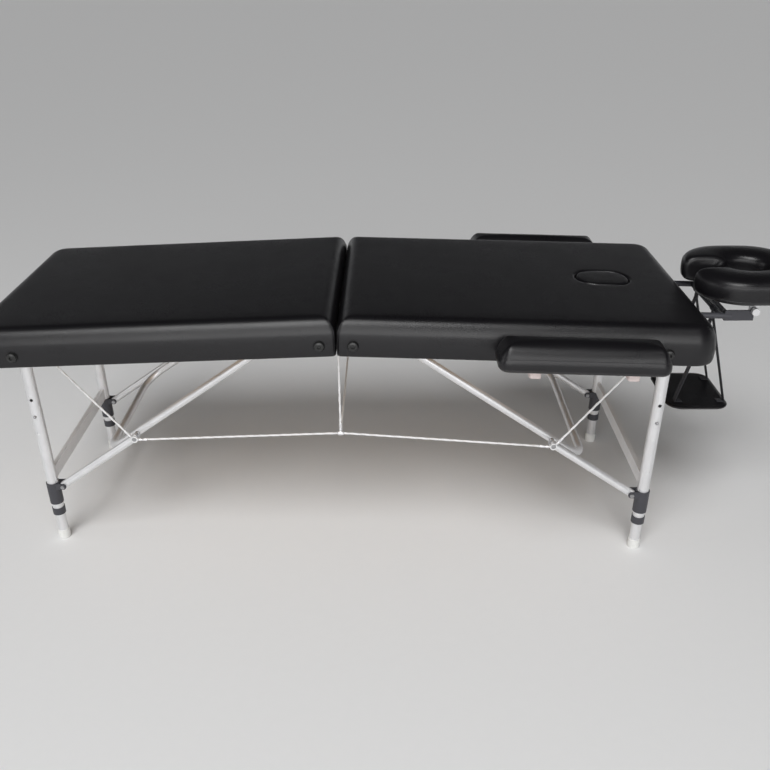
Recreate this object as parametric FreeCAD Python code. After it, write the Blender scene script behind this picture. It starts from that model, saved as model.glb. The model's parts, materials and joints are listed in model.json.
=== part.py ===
import FreeCAD, Part
import math
import os

Vec = FreeCAD.Vector
X_AXIS = Vec(1, 0, 0)
Y_AXIS = Vec(0, 1, 0)
Z_AXIS = Vec(0, 0, 1)
ORIGIN = Vec(0, 0, 0)

# Driving dimensions, millimetres and degrees.
# Each half is drawn flat: X runs from the centre hinge outwards, Z up from the frame's lower edge.
HALF_LENGTH = 925.0
HALF_WIDTH = 350.0
ARCH = 2.0
HINGE_HEIGHT = 610.0
RAIL_DEPTH = 64.0
RAIL_THICK = 18.0
DECK_THICK = 4.0
PAD_TOP = 100.0
SEAM_GAP = 1.0
SIDE_COVER = 6.0
END_COVER = 3.0
SEAM_COVER = 4.0
CORNER_RADIUS = 58.0
SEAM_CORNER = 12.0
LIP_THICK = 2.0
KNUCKLE_ROOM = 6.0
HINGE_Y = (-240.0, 240.0)
LEAF_HALF = 45.0
LEAF_LOW = 8.0
LEAF_TOP = 52.0
LEAF_THICK = 2.0
LEAF_ROOM = 1.0
KNUCKLE_RADIUS = 5.0
KNUCKLE_LONG = {"left": 20.0, "right": 19.8}
KNUCKLE_STARTS = {"left": (-30.0, 10.2), "right": (-9.9,)}
WEB_IN = 2.5
WEB_LOW = -1.0
WEB_TOP = 9.0
PIN_DIA = 5.0
PIN_HALF = 31.0
HANDLE_U = 215.0
HANDLE_W = 6.0
HANDLE_SPAN = 80.0
HANDLE_REACH = 24.0
HANDLE_WIDTH = 28.0
HANDLE_THICK = 5.0
HANDLE_RISE = 25.0
HANDLE_BEND = 28.0
HANDLE_FOOT = 6.0
WRAP_INSET = 0.5
PAD_BELLY = 10.0
PAD_EDGE = ((12.0, 4.5), (5.0, 12.0), (1.5, 24.0), (0.0, 60.0))
SOCKET_ROOM = 2.0
BUMPER_OUTLINE = ((0.0, 0.0), (14.0, 0.0), (14.0, 5.0), (11.5, 10.0), (7.0, 11.5), (5.0, 11.5), (5.0, 8.0),
                  (0.0, 8.0))
BUMPER_U = (40.0, 800.0)
BUMPER_W = 32.0
OVERRUN = 1.0

LEG_U = 818.0
LEG_W = 20.5
LEG_LEAN = 1.0
LEG_DIA = 31.0
LEG_BORE = 28.6
INNER_DIA = 28.0
INNER_BORE = 25.0
LEG_END = 512.0
LEG_HEAD = 13.0
LEG_SPREAD = {"left": 252.5, "right": 290.5}
SLEEVE_DIA = 37.0
SLEEVE_TOP = 417.0
SLEEVE_END = 483.0
COLLAR_DIA = 35.0
COLLAR_TOP = 499.0
COLLAR_END = 520.0
BUTTON_AT = 203.0
BUTTON_DIA = 8.0
HOLE_DIA = 9.0
HOLE_PITCH = 50.0
HOLE_STEPS = (-1, 0, 1, 2, 3)
BUTTON_ROOM = 0.3
BUTTON_OUT = 2.5
BUTTON_DOME = 2.0
BUTTON_IN = 4.0
INNER_ABOVE = 22.0
FOOT_DIA = 33.0
FOOT_HEIGHT = 26.0
FOOT_ROUND = 2.5
FOOT_FLOOR = 6.0
FOOT_SPARE = 2.0
LEG_CHEEK = (18.0, 3.0)
BRACE_CHEEK = (14.0, 40.0)
SIDE_ROOM = 0.7
BOLT_HEAD = 4.0
BOLT_HEAD_DIA = 14.0
BOLT_SPARE = 1.0
LUG_HEAD_DIA = 11.0
ELBOW_HEAD_DIA = 12.0
SPACER_DIA = 14.0
CLEVIS_HALF = 9.0
CROSSBAR_TOP = 380.0
CROSSBAR_END = 416.0
CROSSBAR_THICK = 12.0

LUG_AT = 427.0
LUG_OFFSET = 31.5
BRACE_DIA = 21.0
BRACE_BORE = 17.0
END_ROUND = 11.3
END_SPARE = 9.0
ELBOW_SPARE = 10.0
BRACE_PIVOT_U = 75.0
BRACE_PIVOT_W = LEG_W + LUG_OFFSET
HOOP_INSET = 31.5
HOOP_REACH = 110.0
HOOP_CORNER = 60.0
PIVOT_BOLT_DIA = 8.0
BRACE_BOLT_DIA = 6.0
RUN_CLEAR = 0.1
CHEEK = 3.0
CABLE_DIA = 5.0
CABLE_MID_HEIGHT = 351.0
CABLE_ASIDE = 8.0
CORD_Y = 271.0
CORD_TOP = 8.0
STAY_STEP = Vec(6, 0, 8)
STAY_TAB = Vec(-30, 2, -20)
CLIP_DIA = 9.0
CLIP_HALF = 7.5
CLIP_SIDE = 8.0

PLUG_U = 708.0
PLUG_LENGTH = 146.0
PLUG_WIDTH = 110.0
PLUG_LIP = 13.0
PLUG_ROOM = 1.0
PLUG_EDGE = ((10.0, 0.0), (3.0, 3.0), (0.0, 10.0))
PEG_U = (470.0, 700.0)
PEG_W = 30.0
PEG_DIA = 12.0
PEG_ROOT = 10.0
PEG_REACH = 30.0
PEG_LUG_HALF = 8.0
PEG_LUG_DEEP = 12.0
ARMREST_SPAN = (380.0, 784.0)
ARMREST_OUT = 460.0
ARMREST_GAP = 4.0
ARMREST_LOW = 19.0
ARMREST_TOP = 88.0
ARMREST_CORNER = 22.0
ARMREST_FOOT = ((0.0, 5.0), (14.0, 0.0))
ARMREST_EDGE = ((20.0, 0.0), (8.0, 6.0), (0.0, 20.0))
HOLDER_END = 40.0
HOLDER_OUT = 25.0
HOLDER_IN = 8.0
HOLDER_THICK = 6.0
TAB_HALF = 14.0
TAB_OUT = 20.0
TAB_DEEP = 18.0
TAB_CORNER = 6.0
POST_Y = 120.0
POST_W = 44.0
POST_DIA = 16.0
POST_INNER = 845.0
POST_OUTER = 1026.0
SOCKET_BACK = 75.0
SOCKET_LENGTH = 23.0
SOCKET_WALL = 3.0
SOCKET_LOW = 15.0
SOCKET_TOP = 8.0
CROSS_INSET = (3.0, 4.0)
CROSS_LOW = 13.0
CROSS_TOP = 2.0
CHEEK_Y = 125.0
CHEEK_THICK = 6.0
CHEEK_RISE = 1.0
CHEEK_BOSS = 18.0
EAR_THICK = 6.0
EAR_GAP = 3.0
EAR_HALF = 11.0
EAR_SINK = 4.0
PLATE_THICK = 8.0
PLATE_REACH = 104.0
PLATE_GAP = 1.0
KNOB_DIA = 20.0
KNOB_LONG = 11.0
KNOB_SPARE = 2.0
CRADLE_RISE = 12.0
CRADLE_PIVOT_X = 1085.0
CRADLE_CENTRE_X = 1089.0
CRADLE_BASE_Z = 652.0
CRADLE_RADII = (149.0, 165.0)
CRADLE_CORNER = 112.0
CRADLE_HOLE = (74.0, 60.0)
CRADLE_THICK = 78.0
CRADLE_FOOT = ((0.0, 12.0), (10.0, 2.0), (30.0, 0.0))
CRADLE_EDGE = ((26.0, 3.0), (9.0, 16.0), (0.0, 34.0))
CRADLE_GAP = 34.0
CRADLE_END_ROUND = 18.0
SHELF_Z = 332.0
SHELF_THICK = 8.0
SHELF_SPAN = (910.0, 1080.0)
SHELF_HALF_WIDTH = 112.0
SHELF_CORNER = 40.0
ROD_X = 1000.0
ROD_Z = HINGE_HEIGHT + POST_W / math.cos(math.radians(ARCH)) - ROD_X * math.tan(math.radians(ARCH))
ROD_DIA = 12.0
STRAP_FEET = (934.0, 1072.0)
STRAP_Y = 70.0
STRAP_HALF = 10.0
STRAP_THICK = 2.0
STRAP_SLACK = 0.2

SIDES = ("left", "right")
ENDS = ("near", "far")
parts = {}


# Plain solids.
def box(x0, x1, y0, y1, z0, z1):
    return Part.makeBox(x1 - x0, y1 - y0, z1 - z0, Vec(x0, y0, z0))


def rod(dia, start, end):
    return Part.makeCylinder(dia / 2, (end - start).Length, start, end - start)


def tube(dia, bore, start, end):
    return rod(dia, start, end).cut(rod(bore, start, end))


def across(dia, x, z, y0, y1):
    return rod(dia, Vec(x, min(y0, y1), z), Vec(x, max(y0, y1), z))


def rounded_wire(x0, x1, y0, y1, radius, z, low_radius=None):
    low = low_radius or radius
    corners = [(x1 - radius, y1 - radius, 0, radius), (x0 + low, y1 - low, 90, low),
               (x0 + low, y0 + low, 180, low), (x1 - radius, y0 + radius, 270, radius)]
    arcs = []
    for x, y, start, bend in corners:
        turn = [math.radians(start + step) for step in (0, 45, 90)]
        spots = [Vec(x + bend * math.cos(a), y + bend * math.sin(a), z) for a in turn]
        arcs.append(Part.Arc(*spots).toShape())
    edges = []
    for arc, following in zip(arcs, arcs[1:] + arcs[:1]):
        edges += [arc, Part.LineSegment(arc.Vertexes[-1].Point, following.Vertexes[0].Point).toShape()]
    return Part.Wire(edges)


def slab(x0, x1, y0, y1, z0, z1, radius, low_radius=None):
    return Part.Face(rounded_wire(x0, x1, y0, y1, radius, z0, low_radius)).extrude(Vec(0, 0, z1 - z0))


def cushion(x0, x1, y0, y1, radius, levels, low_radius=None):
    wires = [rounded_wire(x0 + inset, x1 - inset, y0 + inset, y1 - inset, radius, z, low_radius)
             for z, inset in levels]
    return Part.makeLoft(wires, True, False)


def mirrored(shape):
    return shape.mirror(ORIGIN, Y_AXIS)


def pair(shape):
    return Part.makeCompound([shape, mirrored(shape)])


def place(shape, side):
    shape = shape.copy()
    shape.rotate(ORIGIN, Y_AXIS, ARCH)
    shape.translate(Vec(0, 0, HINGE_HEIGHT))
    return shape if side == "right" else shape.mirror(ORIGIN, X_AXIS)


def keep(name, shape, side=None):
    parts[name] = place(shape, side) if side else shape


# A leg is drawn hanging down from its hinge at the origin, then leaned and moved to its place.
def at_leg(shape, spread):
    shape = shape.copy()
    shape.rotate(ORIGIN, Y_AXIS, -LEG_LEAN)
    shape.translate(Vec(LEG_U, -spread, LEG_W))
    return shape


def leg_point(drop, inward, spread):
    lean = math.radians(LEG_LEAN)
    u = LEG_U + drop * math.sin(lean) - inward * math.cos(lean)
    return Vec(u, -spread, LEG_W - drop * math.cos(lean) - inward * math.sin(lean))


# The braces fold flat, so their lengths are half the sum and half the difference of the two spans.
lug_rest = leg_point(LUG_AT, LUG_OFFSET, 0)
brace_pivot = Vec(BRACE_PIVOT_U, 0, BRACE_PIVOT_W)
span_open = (lug_rest - brace_pivot).Length
span_folded = LEG_U - LUG_AT - BRACE_PIVOT_U
UPPER_LENGTH = (span_open + span_folded) / 2
LOWER_LENGTH = (span_open - span_folded) / 2
brace_line = (lug_rest - brace_pivot).normalize()
elbow = brace_pivot + brace_line * UPPER_LENGTH


# The space inside the upholstery, which the rails and the deck fill.
def core(z0, z1):
    y1 = HALF_WIDTH - SIDE_COVER
    return slab(SEAM_GAP + SEAM_COVER, HALF_LENGTH - END_COVER, -y1, y1, z0, z1,
                CORNER_RADIUS - END_COVER, SEAM_CORNER - SEAM_COVER)


def rails(side):
    y1 = HALF_WIDTH - SIDE_COVER
    y0 = y1 - RAIL_THICK
    u0 = SEAM_GAP + SEAM_COVER
    u1 = HALF_LENGTH - END_COVER
    knuckle = across(2 * KNUCKLE_ROOM, 0, 0, -HALF_WIDTH, HALF_WIDTH)
    near = box(u0, u1, -y1, -y0, LIP_THICK, RAIL_DEPTH).cut(knuckle).common(core(0, RAIL_DEPTH))
    seam_rail = box(u0, u0 + RAIL_THICK, -y0, y0, 0, RAIL_DEPTH).cut(knuckle)
    end_rail = box(u1 - RAIL_THICK, u1, -y0, y0, LIP_THICK, RAIL_DEPTH)
    if side == "right":
        for u in PEG_U:
            near = near.cut(across(PEG_DIA + RUN_CLEAR, u, PEG_W, -HALF_WIDTH, 0))
        for y in (-POST_Y, POST_Y):
            post = rod(POST_DIA + RUN_CLEAR, Vec(POST_INNER, y, POST_W), Vec(HALF_LENGTH, y, POST_W))
            end_rail = end_rail.cut(post)
    keep(side + "_side_rails", pair(near), side)
    inside = core(0, RAIL_DEPTH)
    keep(side + "_cross_rails", Part.makeCompound([seam_rail.common(inside), end_rail.common(inside)]), side)


def face_hole(shrink, z0, z1):
    length = PLUG_LENGTH / 2 - shrink
    width = PLUG_WIDTH / 2 - shrink
    return slab(PLUG_U - length, PLUG_U + length, -width, width, z0, z1, width - RUN_CLEAR)


def pads(side):
    u0 = SEAM_GAP
    u1 = HALF_LENGTH
    deck_low = RAIL_DEPTH
    deck_top = RAIL_DEPTH + DECK_THICK
    deck = core(deck_low, deck_top)
    levels = [(deck_top, WRAP_INSET), (deck_top + PAD_BELLY, 0)]
    levels += [(PAD_TOP - fall, inset) for fall, inset in PAD_EDGE]
    top = cushion(u0, u1, -HALF_WIDTH, HALF_WIDTH, CORNER_RADIUS, levels, SEAM_CORNER)
    wrap_y = HALF_WIDTH - WRAP_INSET
    wrap = slab(u0 + WRAP_INSET, u1 - WRAP_INSET, -wrap_y, wrap_y, 0, deck_top, CORNER_RADIUS, SEAM_CORNER)
    lip_y = HALF_WIDTH - SIDE_COVER - RAIL_THICK
    bay = box(u0, u1 - END_COVER - RAIL_THICK, -lip_y, lip_y, -OVERRUN, LIP_THICK)
    hollow = core(LIP_THICK, deck_top).fuse(bay)
    knuckle = across(2 * KNUCKLE_ROOM, 0, 0, -HALF_WIDTH, HALF_WIDTH)
    wrap = wrap.cut(hollow).cut(knuckle)
    for y in HINGE_Y:
        room = LEAF_HALF + LEAF_ROOM
        wrap = wrap.cut(box(0, SEAM_GAP + SEAM_COVER, y - room, y + room, -OVERRUN, LEAF_TOP + LEAF_ROOM))
    pad = top.fuse(wrap)
    if side == "right":
        for u in PEG_U:
            peg = across(PEG_DIA + SOCKET_ROOM, u, PEG_W, -2 * HALF_WIDTH, 2 * HALF_WIDTH)
            pad = pad.cut(peg)
        for y in (-POST_Y, POST_Y):
            post = rod(POST_DIA + SOCKET_ROOM, Vec(POST_INNER, y, POST_W), Vec(2 * HALF_LENGTH, y, POST_W))
            pad = pad.cut(post)
        pad = pad.cut(face_hole(0, deck_top, 2 * PAD_TOP))
        deck = deck.cut(face_hole(PLUG_LIP, 0, deck_top))
    keep(side + "_deck", deck, side)
    keep(side + "_pad", pad, side)


def bumpers(side):
    wire = Part.makePolygon([Vec(r, -h, 0) for r, h in BUMPER_OUTLINE + BUMPER_OUTLINE[:1]])
    foot = Part.Face(wire).revolve(ORIGIN, Y_AXIS, 360)
    spots = [Vec(u, -HALF_WIDTH + WRAP_INSET, BUMPER_W) for u in BUMPER_U]
    keep(side + "_bumpers", Part.makeCompound([foot.translated(spot) for spot in spots]), side)


# Cheek plates carry the leg and brace bolts under the deck.
def brackets(side):
    spread = LEG_SPREAD[side]
    plates = []
    bolts = []
    rows = [(LEG_U, LEG_W, spread, LEG_DIA, LEG_CHEEK),
            (BRACE_PIVOT_U, BRACE_PIVOT_W, spread - HOOP_INSET, BRACE_DIA, BRACE_CHEEK)]
    for u, w, y, dia, (half, low) in rows:
        inner = dia / 2 + SIDE_ROOM
        bolt = across(PIVOT_BOLT_DIA, u, w, -y - inner - CHEEK, -y + inner + CHEEK)
        for face in (-y - inner - CHEEK, -y + inner):
            cheek = box(u - half, u + half, face, face + CHEEK, low, RAIL_DEPTH)
            plates.append(cheek.cut(across(PIVOT_BOLT_DIA, u, w, -2 * y, 2 * y)))
        for face, out in ((-y - inner - CHEEK, -BOLT_HEAD), (-y + inner + CHEEK, BOLT_HEAD)):
            bolt = bolt.fuse(across(BOLT_HEAD_DIA, u, w, face, face + out))
        bolts.append(bolt)
    keep(side + "_pivot_brackets", Part.makeCompound([pair(plate) for plate in plates]), side)
    keep(side + "_pivot_bolts", Part.makeCompound([pair(bolt) for bolt in bolts]), side)


def drop(z):
    return Vec(0, 0, -z)


def clevis():
    cheeks = []
    hole = across(BRACE_BOLT_DIA + RUN_CLEAR, -LUG_OFFSET, -LUG_AT, -2 * LEG_DIA, 2 * LEG_DIA)
    for y in (-BRACE_DIA / 2 - SIDE_ROOM - CHEEK, BRACE_DIA / 2 + SIDE_ROOM):
        plate = box(-LUG_OFFSET, 0, y, y + CHEEK, -LUG_AT - CLEVIS_HALF, -LUG_AT + CLEVIS_HALF)
        plate = plate.fuse(across(2 * CLEVIS_HALF, -LUG_OFFSET, -LUG_AT, y, y + CHEEK))
        cheeks.append(plate.cut(hole))
    return cheeks


def legs(side):
    spread = LEG_SPREAD[side]
    outer = tube(LEG_DIA, LEG_BORE, drop(-LEG_HEAD), drop(LEG_END))
    outer = outer.cut(across(PIVOT_BOLT_DIA + RUN_CLEAR, 0, 0, -LEG_DIA, LEG_DIA))
    for step in HOLE_STEPS:
        outer = outer.cut(across(HOLE_DIA, 0, -BUTTON_AT - step * HOLE_PITCH, -LEG_DIA, 0))
    sleeve = rod(SLEEVE_DIA, drop(SLEEVE_TOP), drop(SLEEVE_END))
    for plate in clevis():
        sleeve = sleeve.fuse(plate)
    sleeve = sleeve.cut(rod(LEG_DIA, drop(0), drop(SLEEVE_END)))
    collar = tube(COLLAR_DIA, LEG_DIA, drop(COLLAR_TOP), drop(LEG_END))
    collar = collar.fuse(tube(COLLAR_DIA, LEG_BORE, drop(LEG_END), drop(COLLAR_END)))
    bar_half = CROSSBAR_THICK / 2
    bar = box(-bar_half, bar_half, 0, 2 * spread, -CROSSBAR_END, -CROSSBAR_TOP)
    bar = bar.cut(rod(LEG_DIA, drop(0), drop(LEG_END)))
    bar = bar.cut(rod(LEG_DIA, drop(0), drop(LEG_END)).translated(Vec(0, 2 * spread, 0)))
    keep(side + "_outer_legs", pair(at_leg(outer, spread)), side)
    keep(side + "_leg_sleeves", pair(at_leg(sleeve, spread)), side)
    keep(side + "_leg_collars", pair(at_leg(collar, spread)), side)
    keep(side + "_leg_crossbar", at_leg(bar, spread), side)
    floor = box(-2 * HALF_LENGTH, 2 * HALF_LENGTH, -2 * HALF_WIDTH, 2 * HALF_WIDTH, -HINGE_HEIGHT, 0)
    length = (HINGE_HEIGHT - LEG_U * math.sin(math.radians(ARCH)) + LEG_W) / math.cos(math.radians(LEG_LEAN))
    inner = tube(INNER_DIA, INNER_BORE, drop(BUTTON_AT - INNER_ABOVE), drop(length - FOOT_FLOOR))
    inner = inner.cut(across(BUTTON_DIA + BUTTON_ROOM, 0, -BUTTON_AT, -LEG_DIA, 0))
    cap = rod(FOOT_DIA, drop(length - FOOT_HEIGHT), drop(length + FOOT_SPARE))
    cap = cap.makeFillet(FOOT_ROUND, [cap.Edges[0]]).cut(rod(INNER_DIA, drop(0), drop(length - FOOT_FLOOR)))
    button = across(BUTTON_DIA, 0, -BUTTON_AT, -LEG_DIA / 2 - BUTTON_OUT, -INNER_BORE / 2 + BUTTON_IN)
    button = button.fuse(Part.makeSphere(BUTTON_DIA / 2, Vec(0, -LEG_DIA / 2 - BUTTON_DOME, -BUTTON_AT)))
    for end in ENDS:
        for label, shape in (("inner_leg", inner), ("foot_cap", cap), ("snap_button", button)):
            solid = at_leg(shape, spread)
            if end == "far":
                solid = mirrored(solid)
            solid = place(solid, side)
            keep(side + "_" + end + "_" + label, solid.cut(floor))


# A brace end is rounded about its bolt so that it turns clear of what carries it.
def rounded_end(shape, spot, outward):
    reach = 2 * BRACE_DIA
    block = box(0, reach, -HALF_WIDTH, HALF_WIDTH, -reach, reach)
    block.rotate(ORIGIN, Y_AXIS, math.degrees(math.atan2(-outward.z, outward.x)))
    block.translate(spot)
    return shape.cut(block.cut(across(2 * END_ROUND, spot.x, spot.z, -2 * HALF_WIDTH, 2 * HALF_WIDTH)))


def braces(side):
    spread = LEG_SPREAD[side]
    arm_y = spread - HOOP_INSET
    start = brace_pivot - brace_line * END_SPARE - Y_AXIS * arm_y
    bend = brace_pivot + brace_line * (UPPER_LENGTH + HOOP_REACH - HOOP_CORNER) - Y_AXIS * arm_y
    middle = bend + brace_line * HOOP_CORNER * math.sin(math.pi / 4)
    middle += Y_AXIS * HOOP_CORNER * (1 - math.cos(math.pi / 4))
    turned = bend + brace_line * HOOP_CORNER + Y_AXIS * HOOP_CORNER
    route = [start, bend, middle, turned]
    far = [Vec(spot.x, -spot.y, spot.z) for spot in route]
    edges = [Part.LineSegment(start, bend), Part.Arc(bend, middle, turned), Part.LineSegment(turned, far[3]),
             Part.Arc(far[3], far[2], far[1]), Part.LineSegment(far[1], far[0])]
    path = Part.Wire([edge.toShape() for edge in edges])
    skins = []
    for dia in (BRACE_DIA, BRACE_BORE):
        ring = Part.Wire([Part.Circle(start, brace_line, dia / 2).toShape()])
        skins.append(path.makePipeShell([ring], True, False))
    hoop = rounded_end(skins[0].cut(skins[1]), brace_pivot, brace_line * -1)
    hoop = hoop.cut(across(PIVOT_BOLT_DIA + RUN_CLEAR, BRACE_PIVOT_U, BRACE_PIVOT_W, -HALF_WIDTH, HALF_WIDTH))
    keep(side + "_brace_hoop", hoop, side)
    shift = Y_AXIS * -spread
    ends = (elbow - brace_line * ELBOW_SPARE, lug_rest + brace_line * END_SPARE)
    lower = tube(BRACE_DIA, BRACE_BORE, *ends).translated(shift)
    lower = rounded_end(rounded_end(lower, lug_rest, brace_line), elbow, brace_line * -1)
    lower = lower.cut(across(BRACE_BOLT_DIA, lug_rest.x, lug_rest.z, -HALF_WIDTH, 0))
    lower = lower.cut(across(BRACE_BOLT_DIA, elbow.x, elbow.z, -HALF_WIDTH, 0))
    keep(side + "_lower_braces", pair(lower), side)
    cheek_out = BRACE_DIA / 2 + SIDE_ROOM + RUN_CLEAR + CHEEK
    bolt_out = cheek_out + BOLT_SPARE
    lug_bolt = across(BRACE_BOLT_DIA, lug_rest.x, lug_rest.z, -spread - bolt_out, -spread + bolt_out)
    for face in (-spread - cheek_out - BOLT_HEAD, -spread + cheek_out):
        lug_bolt = lug_bolt.fuse(across(LUG_HEAD_DIA, lug_rest.x, lug_rest.z, face, face + BOLT_HEAD))
    near = -spread - BRACE_DIA / 2
    stop = -arm_y - BRACE_DIA / 2 - BOLT_SPARE
    elbow_bolt = across(BRACE_BOLT_DIA, elbow.x, elbow.z, near - BOLT_SPARE, stop)
    elbow_bolt = elbow_bolt.fuse(across(ELBOW_HEAD_DIA, elbow.x, elbow.z, near - BOLT_HEAD, near))
    elbow_bolt = elbow_bolt.fuse(across(SPACER_DIA, elbow.x, elbow.z, -spread + BRACE_DIA / 2, stop))
    keep(side + "_brace_bolts", Part.makeCompound([pair(lug_bolt), pair(elbow_bolt)]), side)


def cables(side):
    spread = LEG_SPREAD[side]
    arm_y = spread + BRACE_DIA / 2 + CABLE_ASIDE
    arch = math.radians(ARCH)
    fall = CABLE_MID_HEIGHT - HINGE_HEIGHT
    middle = Vec(-fall * math.sin(arch) + CLIP_SIDE, -CORD_Y, fall * math.cos(arch))
    outer = Vec(elbow.x, -arm_y, elbow.z)
    tab = Vec(LEG_U, -arm_y, RAIL_DEPTH) + STAY_TAB
    runs = [rod(CABLE_DIA, outer, middle), rod(CABLE_DIA, outer + STAY_STEP, tab)]
    keep(side + "_stay_cables", Part.makeCompound([pair(run) for run in runs]), side)


def centre_cords():
    top = Vec(0, -CORD_Y, HINGE_HEIGHT - CORD_TOP)
    low = Vec(0, -CORD_Y, CABLE_MID_HEIGHT)
    clip = rod(CLIP_DIA, low - X_AXIS * CLIP_HALF, low + X_AXIS * CLIP_HALF)
    cord = rod(CABLE_DIA, top, low).fuse(clip)
    cross = rod(CABLE_DIA, low, Vec(low.x, -low.y, low.z))
    keep("centre_cords", cord.fuse(cross).fuse(mirrored(cord)))


# Butt hinges at the seam: two knuckles on the left leaf, one on the right, round one pin.
def hinges():
    leaves = {"left": [], "right": []}
    pins = []
    back = SEAM_GAP + SEAM_COVER
    for y in HINGE_Y:
        for side in SIDES:
            leaf = box(back - LEAF_THICK, back, y - LEAF_HALF, y + LEAF_HALF, LEAF_LOW, LEAF_TOP)
            for start in KNUCKLE_STARTS[side]:
                end = start + KNUCKLE_LONG[side]
                curl = across(2 * KNUCKLE_RADIUS, 0, 0, y + start, y + end)
                web = box(WEB_IN, back, y + start, y + end, WEB_LOW, WEB_TOP)
                leaf = leaf.fuse(curl.fuse(web))
            bore = PIN_DIA if side == "left" else PIN_DIA + RUN_CLEAR
            leaf = leaf.cut(across(bore, 0, 0, y - LEAF_HALF, y + LEAF_HALF))
            leaves[side].append(leaf)
        pins.append(across(PIN_DIA, 0, HINGE_HEIGHT, y - PIN_HALF, y + PIN_HALF))
    for side in SIDES:
        keep("hinge_leaves_" + side, Part.makeCompound(leaves[side]), side)
    keep("hinge_pins", Part.makeCompound(pins))


def armrests():
    x0, x1 = ARMREST_SPAN
    inner = HALF_WIDTH + ARMREST_GAP
    levels = [(ARMREST_LOW + rise, inset) for rise, inset in ARMREST_FOOT]
    levels += [(ARMREST_TOP - fall, inset) for fall, inset in ARMREST_EDGE]
    pad = cushion(x0, x1, -ARMREST_OUT, -inner, ARMREST_CORNER, levels)
    under = ARMREST_LOW - HOLDER_THICK
    holder_out = -ARMREST_OUT + HOLDER_OUT
    holder = box(x0 + HOLDER_END, x1 - HOLDER_END, holder_out, -inner - HOLDER_IN, under, ARMREST_LOW)
    tab_out = -ARMREST_OUT + TAB_OUT
    tab_low = ARMREST_LOW - TAB_DEEP
    lug_out = -inner - PEG_LUG_DEEP
    for u in PEG_U:
        tab = slab(u - TAB_HALF, u + TAB_HALF, tab_out, -inner, tab_low, ARMREST_LOW, TAB_CORNER)
        lug = box(u - PEG_LUG_HALF, u + PEG_LUG_HALF, lug_out, -inner, under, PEG_W + PEG_LUG_HALF)
        peg = across(PEG_DIA, u, PEG_W, -inner - PEG_ROOT, -HALF_WIDTH + SIDE_COVER + PEG_REACH)
        holder = holder.fuse(tab).fuse(lug).fuse(peg)
    pad = pad.cut(holder)
    for end in ENDS:
        for label, shape in (("armrest_pad", pad), ("armrest_holder", holder)):
            keep(end + "_" + label, shape if end == "near" else mirrored(shape), "right")


def plug():
    base = RAIL_DEPTH + DECK_THICK
    length = PLUG_LENGTH / 2 - PLUG_ROOM
    width = PLUG_WIDTH / 2 - PLUG_ROOM
    levels = [(base, 0)] + [(PAD_TOP - fall, inset) for fall, inset in PLUG_EDGE]
    wires = [rounded_wire(PLUG_U - length + inset, PLUG_U + length - inset, -width + inset, width - inset,
                          width - inset - RUN_CLEAR, z) for z, inset in levels]
    keep("face_hole_plug", Part.makeLoft(wires, True, False), "right")


def oval(rx, ry, z):
    ring = Part.Ellipse(Vec(CRADLE_CENTRE_X, 0, z), max(rx, ry), min(rx, ry)).toShape()
    return Part.Wire([ring])


def head_end():
    arch = math.radians(ARCH)
    end_z = HINGE_HEIGHT - HALF_LENGTH * math.sin(arch) + POST_W * math.cos(arch)
    pivot_z = end_z + CRADLE_RISE
    socket_x = CRADLE_PIVOT_X - SOCKET_BACK
    post = place(rod(POST_DIA, Vec(POST_INNER, -POST_Y, POST_W), Vec(POST_OUTER, -POST_Y, POST_W)), "right")
    socket_end = socket_x + SOCKET_LENGTH
    socket_low = end_z - SOCKET_LOW
    socket_in = -POST_Y + POST_DIA / 2 + SOCKET_WALL
    cheek_in = -CHEEK_Y + CHEEK_THICK
    socket = box(socket_x, socket_end, -CHEEK_Y, socket_in, socket_low, end_z + SOCKET_TOP)
    cheek = box(socket_x, CRADLE_PIVOT_X, -CHEEK_Y, cheek_in, socket_low, pivot_z + CHEEK_RISE)
    cheek = cheek.fuse(across(CHEEK_BOSS, CRADLE_PIVOT_X, pivot_z, -CHEEK_Y, cheek_in))
    cheek = cheek.cut(across(PIVOT_BOLT_DIA, CRADLE_PIVOT_X, pivot_z, -HALF_WIDTH, 0))
    cross = box(socket_x + CROSS_INSET[0], socket_end - CROSS_INSET[1], -POST_Y, POST_Y, end_z - CROSS_LOW,
                end_z - CROSS_TOP)
    arm = post.fuse(socket).fuse(cheek)
    hanger = across(ROD_DIA, ROD_X, ROD_Z, -POST_Y, POST_Y)
    frame = arm.fuse(cross).fuse(hanger).fuse(mirrored(arm)).removeSplitter()
    keep("headrest_frame", frame)
    plate_z = CRADLE_BASE_Z - PLATE_THICK
    rim = (PLATE_REACH, CHEEK_Y - CHEEK_THICK - PLATE_GAP)
    plate = Part.Face(oval(*rim, plate_z)).extrude(Vec(0, 0, PLATE_THICK))
    plate = plate.cut(Part.Face(oval(*CRADLE_HOLE, plate_z)).extrude(Vec(0, 0, PLATE_THICK)))
    ear_y = CHEEK_Y - CHEEK_THICK - EAR_GAP
    ear_in = -ear_y + EAR_THICK
    ear_x = CRADLE_PIVOT_X - EAR_HALF
    ear = box(ear_x, ear_x + 2 * EAR_HALF, -ear_y, ear_in, pivot_z, plate_z + EAR_SINK)
    ear = ear.fuse(across(2 * EAR_HALF, CRADLE_PIVOT_X, pivot_z, -ear_y, ear_in))
    ear = ear.cut(across(PIVOT_BOLT_DIA + RUN_CLEAR, CRADLE_PIVOT_X, pivot_z, -HALF_WIDTH, 0))
    plate = plate.fuse(ear).fuse(mirrored(ear))
    keep("cradle_plate", plate)
    bolt = across(PIVOT_BOLT_DIA, CRADLE_PIVOT_X, pivot_z, -CHEEK_Y, ear_in + KNOB_SPARE)
    bolt = bolt.fuse(across(KNOB_DIA, CRADLE_PIVOT_X, pivot_z, -CHEEK_Y - KNOB_LONG, -CHEEK_Y))
    keep("cradle_bolts", pair(bolt))


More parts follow.
